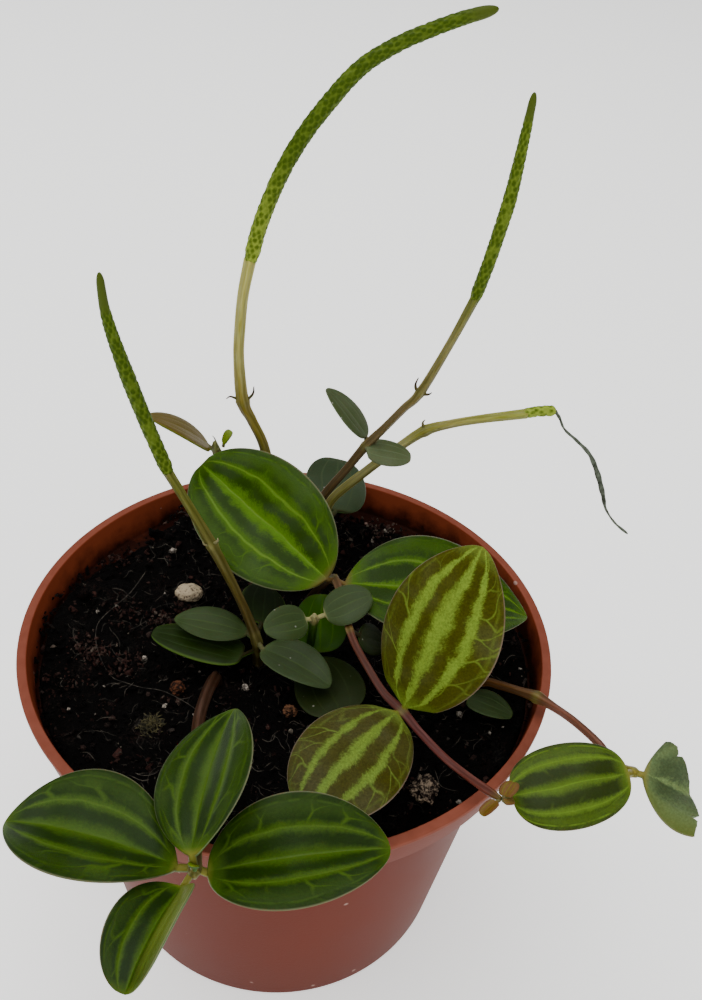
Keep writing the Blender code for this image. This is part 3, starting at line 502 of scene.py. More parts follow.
def add_node(tree, kind, *values, output=None, **settings):
    """Add a node, give it its settings, set or link its inputs, and return an output of it."""
    name, inputs, given, fixed = KINDS.get(kind, ("Math", (0, 1, 2), 0, {"operation": kind}))
    node = tree.nodes.new("ShaderNode" + name)
    for key, value in {**fixed, **settings}.items():
        setattr(node, key, value)
    fill(node, dict(zip(inputs, values)))
    return node.outputs[given if output is None else output]


def terracotta_plastic(settings):
    """Moulded polypropylene: a soft satin, worn on the rim under a painted highlight, with dried soil and
    painted shade inside, spotted by hard water.
    """
    look, add, shader = new_material("terracotta_polypropylene", 0.42, 1.49)
    spot = add("spot")
    x, y, z = add("split", spot)
    from_axis = add("length", add("join", x, y))
    # One noise of about 40 mm for the fading, one of 0.4 mm for the mould's fine grain
    patch = add("noise", spot, 25.0, 3.0)
    grain = add("noise", spot, 2500.0, 1.0)
    tint = add("blend", add("span", patch, 0.4, 0.7, 0.0, 1.0), tuple(settings.plastic),
               tuple(settings.faded))
    # The outer rim, from just outside its inner face, is painted lighter towards its top: wear broken by
    # scuffs of about 3 mm, and a painted highlight
    rim_face = (RIM_RADIUS - RIM_THICKNESS + 0.1) * MM
    scuff = add("noise", spot, 330.0, 4.0)
    outer = add("GREATER_THAN", from_axis, rim_face)
    upper = add("span", z, (POT_HEIGHT - 2.0) * MM, (POT_HEIGHT - 0.4) * MM, 0.2, 1.0)
    upper = add("MULTIPLY", upper, add("span", z, COLLAR_BOTTOM_Z * MM, SHELF_Z * MM, 0.0, 1.0))
    # This mask is both wear and the painted highlight on the rim
    dulled = add("MULTIPLY", add("MULTIPLY", outer, upper), add("span", scuff, 0.3, 0.6, 0.8, 1.0))
    tint = add("blend", dulled, tint, tuple(settings.rim_wear_and_highlight))
    # Dried soil in blotches of about 6 mm on the inner wall, which is also painted darker towards the soil
    # and towards +x: painted shade inside the pot
    blotch = add("noise", spot, 160.0, 5.0, 0.6)
    lower = add("span", z, SHELF_Z * MM, (POT_HEIGHT - 0.5) * MM, 1.0, 0.0)
    within = add("LESS_THAN", from_axis, rim_face)
    within = add("MULTIPLY", within, add("GREATER_THAN", z, (SHELF_Z - 0.4) * MM))
    soil_and_painted_shade = add("ADD", add("MULTIPLY_ADD", blotch, 1.3, lower), add("span", x, 0.02, 0.055, 0.0, 0.36))
    soil_and_painted_shade = add("span", soil_and_painted_shade, 0.9, 1.6, 0.05, 0.93)
    tint = add("blend", within, tint,
               add("blend", soil_and_painted_shade, tuple(settings.inner), tuple(settings.dried_soil_and_shade)))
    # Water spots up to 1 mm across, in about one cell in three of 5 mm
    drops = add("cells", spot, 200.0)
    which = add("cells", spot, 200.0, output="Color")
    size = add("span", add("split", which)[0], 0.72, 1.0, 0.0, 0.16)
    ragged = add("noise", spot, 1500.0)
    edge = add("ADD", add("SUBTRACT", size, drops), add("MULTIPLY_ADD", ragged, 0.12, -0.06))
    painted = add("blend", add("span", edge, 0.0, 0.05, 0.0, 0.8), tint, tuple(settings.scale))
    fill(shader, {"Base Color": painted, "Roughness": add("span", patch, 0.0, 1.0, 0.36, 0.5),
                  "Normal": add("bump", grain, 0.25, 0.0001), "Specular IOR Level": 0.03})
    return look


def peat_soil(settings, name, light):
    """Damp peat: nearly black and crumbly, with brown, grey and straw bits and small wet glints."""
    look, add, shader = new_material(name, 0.55)
    spot = add("spot")
    shade, hue, _ = add("split", add("attribute", attribute_name="shade"))
    # Grit of about 0.4 mm breaks up each lump
    grit = add("noise", spot, 2400.0, 6.0, 0.7)
    value = add("MULTIPLY_ADD", grit, 1.5, shade)
    bits = add("blend", hue, tuple(settings.bark), tuple(settings.ash))
    tint = add("blend", add("span", value, 0.92, 1.5 - light, 0.0, 1.0), tuple(settings.peat), bits)
    tint = add("blend", add("span", value, 1.55, 1.95, 0.0, 1.0), tint, tuple(settings.straw))
    # Pale dots of 0.25 mm in one cell in five of 2 mm: dust, and painted glints on the wet peat
    dust = add("cells", spot, 500.0)
    which = add("cells", spot, 500.0, output="Color")
    size = add("span", add("split", which)[0], 0.7, 1.0, -0.05, 0.13)
    dust_and_painted_glints = add("span", add("SUBTRACT", size, dust), 0.0, 0.03, 0.0, 0.7)
    fill(shader, {"Base Color": add("blend", dust_and_painted_glints, tint, tuple(settings.straw)),
                  "Normal": add("bump", grit, 1.0, 0.0016), "Specular IOR Level": 0.1})
    return look


def fired_clay(name, pale, dark, pores_across=1600.0, open_share=0.4):
    """A fired clay or pumice granule: dull and porous, with soil in its pores and painted shade on its
    underside.
    """
    look, add, shader = new_material(name, 0.9)
    spot = add("spot")
    facing = add("split", add("spot", output="Normal"))[2]
    # Pores of about 0.5 mm
    pores = add("noise", spot, pores_across, 3.0, 0.65)
    clean = add("span", pores, open_share, open_share + 0.14, 0.0, 1.0)
    # Faces that turn downwards are painted dark: painted shade under the granule
    under = add("span", add("MULTIPLY_ADD", pores, 1.6, facing), 0.35, 1.0, 0.1, 1.0)
    tint = add("blend", add("MULTIPLY", clean, under), linear(dark), linear(pale))
    fill(shader, {"Base Color": tint, "Normal": add("bump", pores, 1.0, 0.0005), "Specular IOR Level": 0.2})
    return look


def stem_skin():
    """A fleshy stem's waxy skin, streaked along its length over the stem's own colour, which carries painted
    highlights on its corners.
    """
    look, add, shader = new_material("fleshy_stem_skin", 0.42)
    along = add("attribute", attribute_name="along")
    tint = add("attribute", attribute_name="tint")
    # Streaks about 0.4 mm wide and 6 mm long
    streak = add("noise", along, 1.0, 3.0)
    shaded = add("tone", tint, add("span", streak, 0.3, 0.7, 0.75, 1.3),
                 add("span", streak, 0.3, 0.7, 1.1, 0.85))
    fill(shader, {"Base Color": shaded, "Normal": add("bump", streak, 0.3, 0.0002),
                  "Specular IOR Level": 0.12, "Subsurface Weight": 0.08, "Subsurface Scale": 0.002})
    return look


def spike_skin(settings):
    """A flower spike: dark raised cells in a paler net, and a smooth tip that has yet to open."""
    look, add, shader = new_material("flower_spike_skin", 0.5)
    dome, tip, pale = add("split", add("attribute", attribute_name="cell"))
    spot = add("spot")
    # Mottling of about 0.5 mm
    mottle = add("noise", spot, 1800.0, 2.0)
    shifted = add("MULTIPLY_ADD", mottle, 0.9, add("MULTIPLY_ADD", pale, -0.22, dome))
    dark = add("span", shifted, 0.5, 1.25, 0.0, 1.0)
    net = add("blend", pale, tuple(settings.net), tuple(settings.young_net))
    cells = add("blend", pale, tuple(settings.cells), tuple(settings.young_cells))
    closed = add("blend", tip, add("blend", dark, net, cells), tuple(settings.tip))
    fill(shader, {"Base Color": closed, "Normal": add("bump", mottle, 0.3, 0.0002),
                  "Specular IOR Level": 0.08})
    return look


def withered_skin(name, pale, dark):
    """A withered spike, a root or a straw: dull and streaked."""
    look, add, shader = new_material(name, 0.75)
    spot = add("spot")
    # Blotches of about 1 mm
    streak = add("noise", spot, 900.0, 3.0)
    tint = add("blend", add("span", streak, 0.35, 0.65), linear(dark), linear(pale))
    fill(shader, {"Base Color": tint, "Normal": add("bump", streak, 0.5, 0.0002)})
    return look


def leaf_skin(name, settings, dark, stripe, stripes, net=0.5, fine=0.07, apart=7.0, looped=0.3, hem=0.3,
              mottle=0.12, pebble=0.6, gloss=0.36, thread=0.15, specks=0.0, stalk="6A4A30", edge="76785A",
              rim=0.97, pale_side=0.0, pale="46622A"):
    """A waxy leaf. Its stripes follow the veins with frayed edges; forked side veins join them to
    a vein along the hem, and the skin is mottled. Each stripe is the vein's place across, half the
    width, the strength, how far it frays (all as shares) and how crisp its edge is."""
    look, add, shader = new_material(name, gloss)
    u, w, face = add("split", add("attribute", attribute_name="blade"))
    reach = add("attribute", attribute_name="reach")
    along, across, seed = add("split", reach)

    # The veins wander over about 10 mm
    wander = add("noise", reach, 0.1, 2.0)
    shift = add("span", wander, 0.0, 1.0, -0.09, 0.09)
    from_rib = add("ABSOLUTE", add("ADD", w, shift))

    # Barbs about 0.4 mm wide lean towards the tip on either side of the midrib, in waves of 2 mm
    outwards = add("ABSOLUTE", across)
    leaning = add("MULTIPLY_ADD", outwards, -0.5, along)
    lines = add("join", leaning, add("MULTIPLY", across, 0.75), seed)
    barb = add("noise", lines, 2.4, 4.0, 0.75)
    wave = add("noise", reach, 0.4, 2.0)
    rough = add("span", add("MULTIPLY_ADD", wave, 0.7, barb), 0.55, 1.15, -1.0, 1.0)
    # Stripes are thin at both ends of the blade, and widest past its middle
    swell = add("MINIMUM", add("span", u, 0.0, 0.4, 0.4, 1.0), add("span", u, 0.6, 1.0, 1.0, 0.6))
    bands = []
    for vein, width, most, fray, crisp in stripes:
        gap = add("ABSOLUTE", add("SUBTRACT", from_rib, vein))
        frayed = add("DIVIDE", add("MULTIPLY_ADD", rough, fray, gap), swell)
        bands.append(add("span", frayed, width * crisp, width * (1.8 - crisp), most, 0.0,
                         interpolation_type="SMOOTHSTEP"))
    cores = [add("span", add("ABSOLUTE", add("SUBTRACT", from_rib, vein)), 0.005, 0.03, thread, 0.0)
             for vein in (MIDRIB, LATERAL)]
    edge_gap = add("ABSOLUTE", add("SUBTRACT", from_rib, MARGIN))
    broken = add("MULTIPLY", add("span", wave, 0.36, 0.54, 0.3, 1.0), hem)
    edge_vein = add("span", edge_gap, 0.0, 0.05, 1.0, 0.0, interpolation_type="SMOOTHSTEP")
    edge_vein = add("MULTIPLY", edge_vein, broken)
    band = edge_vein
    for stripe_band in bands:
        band = add("MAXIMUM", band, stripe_band)

    # Side veins `apart` millimetres from each other curve towards the tip, and fork by the edge
    bent = add("noise", reach, 0.13, 1.0)
    warp = add("span", bent, 0.0, 1.0, -6.0, 6.0)
    curved = add("MULTIPLY", add("POWER", from_rib, 1.7), -8.0)
    raked = add("ADD", add("ADD", along, warp), curved)
    phase = add("MULTIPLY", raked, 1 / apart)
    away = add("PINGPONG", phase, 0.5)
    fork = add("span", from_rib, 0.68, 0.9, 0.0, 0.42)
    from_vein = add("ABSOLUTE", add("SUBTRACT", away, fork))
    line = add("span", from_vein, 0.0, fine, 1.0, 0.0, interpolation_type="SMOOTHSTEP")
    number = add("FLOOR", add("ADD", phase, 0.5))
    half = add("GREATER_THAN", w, 0.0)
    which = add("join", number, half, seed)
    chance = add("chance", which)
    seen = add("span", chance, 0.1, 0.6, 0.15, 1.0)
    inner = add("span", from_rib, 0.28, 0.5, 0.0, net)
    outer = add("span", from_rib, 0.66, 0.86, 1.0, looped)
    strength = add("MULTIPLY", add("MULTIPLY", inner, outer), seen)
    veined = add("MAXIMUM", band, add("MULTIPLY", line, strength))
    ends = add("MAXIMUM", add("span", u, 0.02, 0.13, 0.75, 0.0), add("span", u, 0.9, 1.0, 0.0, 0.6))
    veined = add("MAXIMUM", veined, ends)

    # Mottling of about 0.4 mm, and cloudy changes of tone over 12 mm; the greyer patches are waxy bloom and a
    # painted sheen
    grain = add("noise", reach, 2.2, 3.0, 0.65)
    cloud = add("noise", reach, 0.08, 2.0)
    level = add("span", cloud, 0.3, 0.7, 0.8, 1.25)
    # Greyer patches: waxy bloom and a painted sheen
    grey = add("span", cloud, 0.35, 0.65, 1.1, 0.8)
    ground = add("tone", dark, level, grey)
    painted = add("blend", veined, ground, stripe)
    painted = add("blend", add("MAXIMUM", *cores), painted, linear("8A9A50"))
    speckled = add("span", grain, 0.3, 0.7, 1 - mottle, 1 + mottle)
    painted = add("tone", painted, speckled)
    pale_half = add("span", add("MULTIPLY", w, pale_side), 0.1, 0.25, 0.0, 0.85)
    pale_half = add("MULTIPLY", pale_half, add("span", u, 0.55, 0.95, 1.0, 0.3))
    painted = add("blend", pale_half, painted, linear(pale))
    # The stalk keeps the stem's colour, and the edge is pale
    painted = add("blend", add("span", u, -0.01, 0.045, 0.9, 0.0), painted, linear(stalk))
    bordered = add("span", add("ABSOLUTE", w), rim, 0.998, 0.0, 0.75)
    painted = add("blend", bordered, painted, linear(edge))
    # Dust specks 0.4 mm across, in 4 mm cells
    dust = add("cells", reach, 0.25)
    painted = add("blend", add("span", dust, 0.045, 0.065, specks, 0.0), painted, linear("8C8C80"))
    underside = add("tone", tuple(settings.under), add("span", veined, 0.0, 1.0, 0.85, 1.1))
    painted = add("blend", add("span", face, 0.0, -0.4, 0.0, 1.0), painted, underside)

    # The same mottling stands up as pebbling, with a finer grain over it
    pores = add("noise", reach, 4.5, 2.0)
    height = add("MULTIPLY_ADD", grain, pebble, pores)
    fill(shader, {"Base Color": painted, "Normal": add("bump", height, 0.35, 0.00012),
                  "Specular IOR Level": 0.09, "Subsurface Weight": 0.1, "Subsurface Scale": 0.0015})
    return look


# The pot
def rounded(outline, reach, steps):
    """The outline with each inner corner turned into a short curve."""
    found = [Vector(outline[0])]
    for before, corner, after in zip(outline, outline[1:], outline[2:]):
        corner, before, after = Vector(corner), Vector(before), Vector(after)
        back, on = before - corner, after - corner
        cut = min(reach, back.length / 2.1, on.length / 2.1)
        start, end = corner + back.normalized() * cut, corner + on.normalized() * cut
        for k in range(steps + 1):
            t = k / steps
            found.append(start * (1 - t) ** 2 + 2 * corner * t * (1 - t) + end * t * t)
    return found + [Vector(outline[-1])]


def pot_outline():
    """Half the pot's section, as radius and height, from the inner shelf round to the inside."""
    top, inner = POT_HEIGHT, RIM_RADIUS - RIM_THICKNESS
    slope = (BODY_TOP_RADIUS - BASE_RADIUS) / COLLAR_BOTTOM_Z
    return rounded((
        (0.0, 0.0), (CENTRE_PAD_RADIUS, 0.0), (CENTRE_PAD_RADIUS + 0.6, RECESS),
        (BASE_RADIUS - 3.6, RECESS), (BASE_RADIUS - 3.0, 0.0), (BASE_RADIUS - 0.8, 0.0),
        (BASE_RADIUS + slope, 1.0), (BODY_TOP_RADIUS, COLLAR_BOTTOM_Z),
        (COLLAR_BOTTOM_RADIUS - 0.2, COLLAR_BOTTOM_Z), (RIM_RADIUS - 0.3, top - 1.6),
        (RIM_RADIUS, top - 1.2), (RIM_RADIUS, top), (inner, top), (inner - 1.3, SHELF_Z + 0.3),
        (inner - 1.6, SHELF_Z), (BODY_TOP_RADIUS - WALL, SHELF_Z),
        (BASE_RADIUS - WALL + 0.2, FLOOR_Z + 1.0), (BASE_RADIUS - WALL - 1.0, FLOOR_Z), (0.0, FLOOR_Z),
    ), 0.35, 3)


def cut_holes(target, cutters):
    """Cut the cutters out of the target for good, and remove them."""
    group = bpy.data.collections.new("cutters")
    bpy.context.scene.collection.children.link(group)
    for cutter in cutters:
        group.objects.link(cutter)
    change = target.modifiers.new("drain holes", "BOOLEAN")
    change.operation = "DIFFERENCE"
    change.operand_type = "COLLECTION"
    change.collection = group
    change.solver = "EXACT"
    graph = bpy.context.evaluated_depsgraph_get()
    result = bpy.data.meshes.new_from_object(target.evaluated_get(graph))
    target.modifiers.clear()
    target.data = result
    for cutter in cutters:
        bpy.data.objects.remove(cutter)
    bpy.data.collections.remove(group)
    result.set_sharp_from_angle(angle=math.radians(40))


class PEPEROMIA_OT_pot(Operator):
    """Mould the nursery pot and give it its plastic"""
    bl_idname = "peperomia.pot"
    bl_label = "Pot"

    def execute(self, context):
        settings = context.scene.peperomia_pot
        sheet = bmesh.new()
        outline = [sheet.verts.new((p[0], 0.0, p[1])) for p in pot_outline()]
        for a, b in zip(outline, outline[1:]):
            sheet.edges.new((a, b))
        bmesh.ops.spin(sheet, geom=sheet.verts[:] + sheet.edges[:], cent=(0, 0, 0), axis=(0, 0, 1),
                       angle=math.tau, steps=settings.segments, use_merge=True)
        bmesh.ops.remove_doubles(sheet, verts=sheet.verts, dist=0.001)
        bmesh.ops.recalc_face_normals(sheet, faces=sheet.faces)
        look = terracotta_plastic(settings)
        pot = place("pot_moulding", sheet, look, "terracotta_plastic", "pot", sharp=40)
        cutters = []
        for number in range(DRAIN_HOLES):
            turn = Matrix.Rotation(math.tau * number / DRAIN_HOLES, 4, "Z")
            middle = turn @ Matrix.Translation((DRAIN_RING_RADIUS * MM, 0.0, 2.0 * MM))
            hole = bmesh.new()
            bmesh.ops.create_cone(hole, cap_ends=True, segments=40, radius1=DRAIN_HOLE_RADIUS * MM,
                                  radius2=DRAIN_HOLE_RADIUS * MM, depth=6.0 * MM, matrix=middle)
            mesh = bpy.data.meshes.new("drain_hole")
            hole.to_mesh(mesh)
            hole.free()
            cutters.append(bpy.data.objects.new("drain_hole", mesh))
        cut_holes(pot, cutters)
        return {"FINISHED"}


# The soil
def soil_height(x, y):
    """Height of the packed soil in millimetres, as the frame's soil has it."""
    share = min(1.0, max(0.0, (math.hypot(x, y) - 38.0) / 12.0))
    rise = share * share * (3 - 2 * share)
    lumps = 0.5 * math.sin(x / 6.5 + 0.8) * math.cos(y / 7.5) + 0.35 * math.sin((x + 1.3 * y) / 4.6)
    lumps = lumps * (1 - 0.6 * rise) + SOIL_EDGE_RISE * rise
    heap = 5.2 * math.exp(-((x + 31) ** 2 + (y - 45) ** 2) / 90)
    left = 3.4 * math.exp(-((x + 57) ** 2 / 60 + (y - 6) ** 2 / 260))
    right = 1.2 * math.exp(-((x - 54) ** 2 / 120 + y ** 2 / 900))
    return SOIL_TOP + lumps + heap + left + right


def soil_level(x, y):
    """Height of the loose surface: the packed soil with clods on it."""
    spot = Vector((x, y, 0.0))
    return soil_height(x, y) + 0.9 * noise.fractal(spot / 5.0, 0.5, 2.1, 5)


def soil_edge(angle):
    """How far out the soil reaches over the pot's inner shelf at an angle."""
    cover = 1.0
    for bare in BARE_SHELF_ANGLES:
        away = (math.degrees(angle) - bare + 180) % 360 - 180
        cover *= 1 - math.exp(-(away / BARE_SHELF_SPREAD) ** 2)
    least = BODY_TOP_RADIUS - WALL - 0.05
    most = RIM_RADIUS - RIM_THICKNESS - 1.9
    ragged = 0.5 * noise.noise(Vector((6 * math.cos(angle), 6 * math.sin(angle), 3.0)))
    return least + (most - least) * cover + min(0.0, ragged)


def soil_body():
    """The soil as one closed shape that fills the pot."""
    segments, rings, ledge = 240, 84, 1.2
    sheet, spots, (shade,) = wrapped_grid(segments, rings + 3, "shade")
    for vertex, column, ring in spots:
        angle = math.tau * column / segments
        edge = soil_edge(angle)
        if ring <= rings:
            radius = edge * ring / rings
            x, y = radius * math.cos(angle), radius * math.sin(angle)
            z = soil_level(x, y)
            if radius > edge - ledge:
                drop = max(0.0, (edge - radius) / ledge) ** 0.5
                z = SHELF_Z + 0.1 + (max(z, SHELF_Z + 0.3) - SHELF_Z) * drop
        elif ring == rings + 1:
            radius, z = BODY_TOP_RADIUS - WALL - 0.2, SHELF_Z + 0.05
        elif ring == rings + 2:
            radius, z = BODY_TOP_RADIUS - WALL - 0.4, SHELF_Z - 0.4
        else:
            radius, z = BASE_RADIUS - WALL - 0.5, FLOOR_Z + 0.6
        vertex.co = (radius * math.cos(angle), radius * math.sin(angle), z)
        patch = noise.noise(vertex.co / 7.0)
        vertex[shade] = (0.05 + 0.25 * patch, 0.5 + noise.noise(vertex.co / 4.0), 0.0)
    close(sheet)
    return sheet


def any_turn(draw):
    return Euler([draw.uniform(0, math.tau) for _ in range(3)])


def lump_batch(spots, facets, rough):
    """Rough lumps: each spot is a middle, three sizes, a turn, a shade and a hue."""
    batch = bmesh.new()
    shade = batch.verts.layers.float_vector.new("shade")
    for middle, sizes, turn, tone, hue in spots:
        matrix = Matrix.LocRotScale(middle, turn, sizes)
        made = bmesh.ops.create_icosphere(batch, subdivisions=facets, radius=0.5, matrix=matrix)
        for vertex in made["verts"]:
            bump = noise.fractal(vertex.co * 2.2 / max(sizes) + middle, 0.6, 2.3, facets + 1)
            vertex.co = middle + (vertex.co - middle) * max(0.3, 1 + rough * bump)
            vertex[shade] = (tone, hue, 0.0)
    return batch


# A crumb's three sizes as shares of its own: the least and the most of each
FLAKE_SIZES = ((0.3, 0.8), (0.7, 1.5), (0.6, 1.2))


def lumps(spots, facets, rough, at_once=60):
    """Any number of lumps, made in batches since one large mesh grows slowly."""
    return joined([lump_batch(spots[i:i + at_once], facets, rough) for i in range(0, len(spots), at_once)])


def scattered(draw, count, least, most, reach=1.0, light=1.0):
    """Random spots for lumps on the soil, mostly dark and some brown, grey or straw-coloured."""
    found = []
    while len(found) < count:
        angle = draw.uniform(0, math.tau)
        radius = (soil_edge(angle) + reach) * math.sqrt(draw.random())
        x, y = radius * math.cos(angle), radius * math.sin(angle)
        size = least + (most - least) * draw.random() ** 2.8
        level = max(soil_level(x, y), SHELF_Z + 0.1 if radius > BODY_TOP_RADIUS - WALL else 0.0)
        sizes = Vector([size * draw.uniform(*limits) for limits in FLAKE_SIZES])
        turn = any_turn(draw)
        cloud = 0.5 + noise.noise(Vector((x, y, 9.0)) / 9.0)
        # Crumbs high on the lumps are paler where the peat is dry, and those in the hollows darker: painted
        # shade
        dry = min(1.6, max(0.15, 0.7 + 1.3 * (soil_level(x, y) - soil_height(x, y))))
        tone = draw.random() ** 2.2 * (0.15 + 0.75 * cloud) * dry + (0.6 if draw.random() < 0.02 else 0.0)
        hue = draw.random() ** 0.8 * (1.3 - cloud)
        spot = Vector((x, y, level + size * draw.uniform(-0.1, 0.3)))
        found.append((spot, sizes, turn, tone * light, hue))
    return found


def pile(draw, x, y, spread, count, light):
    """Spots for a small heap of paler crumbs round a place."""
    found = []
    for _ in range(count):
        px, py = draw.gauss(x, spread), draw.gauss(y, spread)
        size = draw.uniform(0.25, 1.0)
        sizes = Vector([size * draw.uniform(*limits) for limits in FLAKE_SIZES])
        turn = any_turn(draw)
        level = soil_level(px, py) + draw.uniform(0.2, 1.2)
        if math.hypot(px, py) < RIM_RADIUS - 5:
            tone, hue = draw.uniform(0.1, 1.05) * light, draw.random() * 0.4
            found.append((Vector((px, py, level)), sizes, turn, tone, hue))
    return found


def fibre(path, radius, spacing=0.7):
    """A thin three-sided strand through the points."""
    line, _ = evenly(through(path, 4), spacing)
    last = len(line) - 1

    def reach(row, side):
        taper = radius * (1.0 if 0 < row < last else 0.4)
        return taper, taper

    return tube(line, reach, 3, {})


def short_fibres(draw, count):
    """Short bits of straw and root lying on the soil."""
    found = []
    for _ in range(count):
        angle, radius = draw.uniform(0, math.tau), 50 * math.sqrt(draw.random())
        x, y = radius * math.cos(angle), radius * math.sin(angle)
        heading, length = draw.uniform(0, math.tau), 0.8 + 4.2 * draw.random() ** 2
        path = []
        for _ in range(4):
            x += length / 3 * math.cos(heading)
            y += length / 3 * math.sin(heading)
            heading += draw.uniform(-0.9, 0.9)
            path.append((x, y, soil_level(x, y) + 0.45 + draw.uniform(0, 0.8)))
        found.append(fibre(path, draw.uniform(0.03, 0.085)))
    return found


def long_fibre(spots, radius):
    """A long root hair lying over the soil through x, y places."""
    return fibre([(x, y, soil_level(x, y) + 1.0) for x, y in spots], radius)


def tuft(draw, x, y, reach, count):
    """A tuft of dry moss: short curling strands from one place."""
    found = []
    for _ in range(count):
        heading, lean = draw.uniform(0, math.tau), draw.uniform(0.1, 1.0)
        away = reach * draw.random() * 0.5
        px, py = x + away * math.cos(heading), y + away * math.sin(heading)
        pz = soil_level(px, py) + 0.2
        path = [(px, py, pz)]
        for _ in range(5):
            heading += draw.uniform(-1.9, 1.9)
            step = reach * 0.2
            px += step * lean * math.cos(heading)
            py += step * lean * math.sin(heading)
            pz += step * (1 - lean) * 0.35 + draw.uniform(-0.15, 0.2)
            path.append((px, py, pz))
        found.append(fibre(path, draw.uniform(0.06, 0.12), 0.4))
    return found


# On the soil, in millimetres: flecks by place and size, root hairs by line and radius, the moss by
# place, reach and number of strands, and crumb piles by place, spread, number and paleness
PALE_FLECKS = ((-30.7, 32.0, 1.5), (-45.8, 9.8, 0.9), (-41.8, 12.7, 0.8), (-33.0, -2.9, 1.2),
               (-9.1, -11.5, 1.5), (-26.5, -16.6, 0.8), (-41.1, -20.0, 0.35), (-46.6, -20.3, 0.8),
               (-19.9, -19.4, 0.6), (-31.4, 20.1, 0.6), (-40.5, -12.3, 0.5), (-20.1, -6.3, 0.5),
               (38.7, -16.7, 1.8), (54.0, -4.4, 0.7), (44.8, -22.4, 0.7), (28.4, -20.3, 0.6),
               (36.0, -41.1, 0.9), (47.5, -21.7, 0.5), (24.7, 45.0, 0.9), (21, 41, 1.0), (-8, -34, 0.7))
ROOT_HAIRS = (
    (((-36.6, 25.3), (-39.2, 18.2), (-41.8, 12.7), (-44.1, 8.5), (-45.1, 4.8), (-44.3, -0.6), (-42.1, -5.8),
      (-39.2, -9.6), (-35.6, -11.5), (-32.1, -12.5), (-28.1, -12.9), (-24.6, -14.5), (-21, -17),
      (-16.3, -21)), 0.08),
    (((-33.0, -2.2), (-32.2, -3.2), (-33.2, -4.2), (-34.2, -3.4)), 0.1),
    (((31.8, -32.6), (32, -34.9), (32.5, -36.9), (34, -38.3), (35.9, -38.7)), 0.08),
    (((46, 3.5), (49.5, 3.8), (53, 3.2)), 0.06),
)
MOSS = (-28.7, -22.0, 3.6, 130)
CRUMB_PILES = ((23.5, 45.5, 2.2, 150, 1.0), (-30.5, 9.5, 1.6, 170, 1.0), (-26.0, 13.5, 1.3, 120, 0.9),
               (-45.0, -3.0, 2.2, 190, 0.95), (-38.0, -5.5, 2.0, 150, 0.85), (-49.0, -14.0, 2.4, 90, 0.7),
               (-44.5, 30.0, 2.6, 90, 0.7), (-40.0, 11.0, 2.6, 90, 0.7), (24.0, -36.0, 1.5, 90, 1.1))


class PEPEROMIA_OT_soil(Operator):
    """Fill the pot with soil and strew its crumbs, flecks, fibres and moss"""
    bl_idname = "peperomia.soil"
    bl_label = "Soil"

    def execute(self, context):
        settings = context.scene.peperomia_soil
        draw = random.Random(settings.seed)
        peat = peat_soil(settings, "damp_peat", 0.0)
        crumb = peat_soil(settings, "peat_crumbs", 0.15)
        place("soil_body", soil_body(), peat, "potting_soil", "soil")
        clods = scattered(draw, settings.clods, 1.8, 4.0, light=0.5)
        place("soil_clods", lumps(clods, 3, CLOD_ROUGHNESS), crumb, "potting_soil")
        crumbs = scattered(draw, settings.crumbs, 0.35, 1.7, 1.6)
        place("soil_crumbs", lumps(crumbs, 1, CRUMB_ROUGHNESS), crumb, "potting_soil")
        heaps = [spot for row in CRUMB_PILES for spot in pile(draw, *row)]
        place("soil_heaps", lumps(heaps, 1, CRUMB_ROUGHNESS), crumb, "potting_soil")
        straw = withered_skin("dry_straw", "5E564A", "1A1612")
        place("soil_fibres", joined(short_fibres(draw, settings.fibres)), straw, "potting_soil")
        hairs = [long_fibre(spots, radius) for spots, radius in ROOT_HAIRS]
        place("soil_root_hairs", joined(hairs), straw, "potting_soil")
        moss = withered_skin("dry_moss", "625A36", "161408")
        place("soil_moss", joined(tuft(draw, *MOSS)), moss, "potting_soil")
        flecks = []
        for x, y, size in PALE_FLECKS:
            sizes = Vector([size * draw.uniform(0.7, 1.2) for _ in range(3)])
            turn = any_turn(draw)
            flecks.append((Vector((x, y, soil_level(x, y) + size * 0.45)), sizes, turn, 1.0, 0.0))
        pale = fired_clay("perlite", "A69C90", "5A5046")
        place("soil_flecks", lumps(flecks, 3, CLOD_ROUGHNESS), pale, "granule")
        return {"FINISHED"}


# Granules: pale colour, dark colour of the soil in the pores and of the painted shade underneath, how deep
# the surface is pitted, how uneven it is, how many pores there are and the share that they take, how much the
# lump outgrows its box, and a shift
GRANULES = {
    "granule_1": ("BEAC8E", "3A2412", 0.2, 0.12, 1400.0, 0.33, 1.25, (0.35, -0.5, 0.0)),
    "granule_2": ("8E7C68", "160C08", 1.1, 0.5, 900.0, 0.47, 1.3, (0.0, 0.0, 0.0)),
    "granule_3": ("6E4A32", "1E1008", 0.5, 0.3, 1200.0, 0.42, 1.12, (0.0, 0.0, 0.0)),
    "granule_4": ("5E3620", "140A06", 0.6, 0.35, 1200.0, 0.44, 1.12, (0.0, 0.0, 0.0)),
}


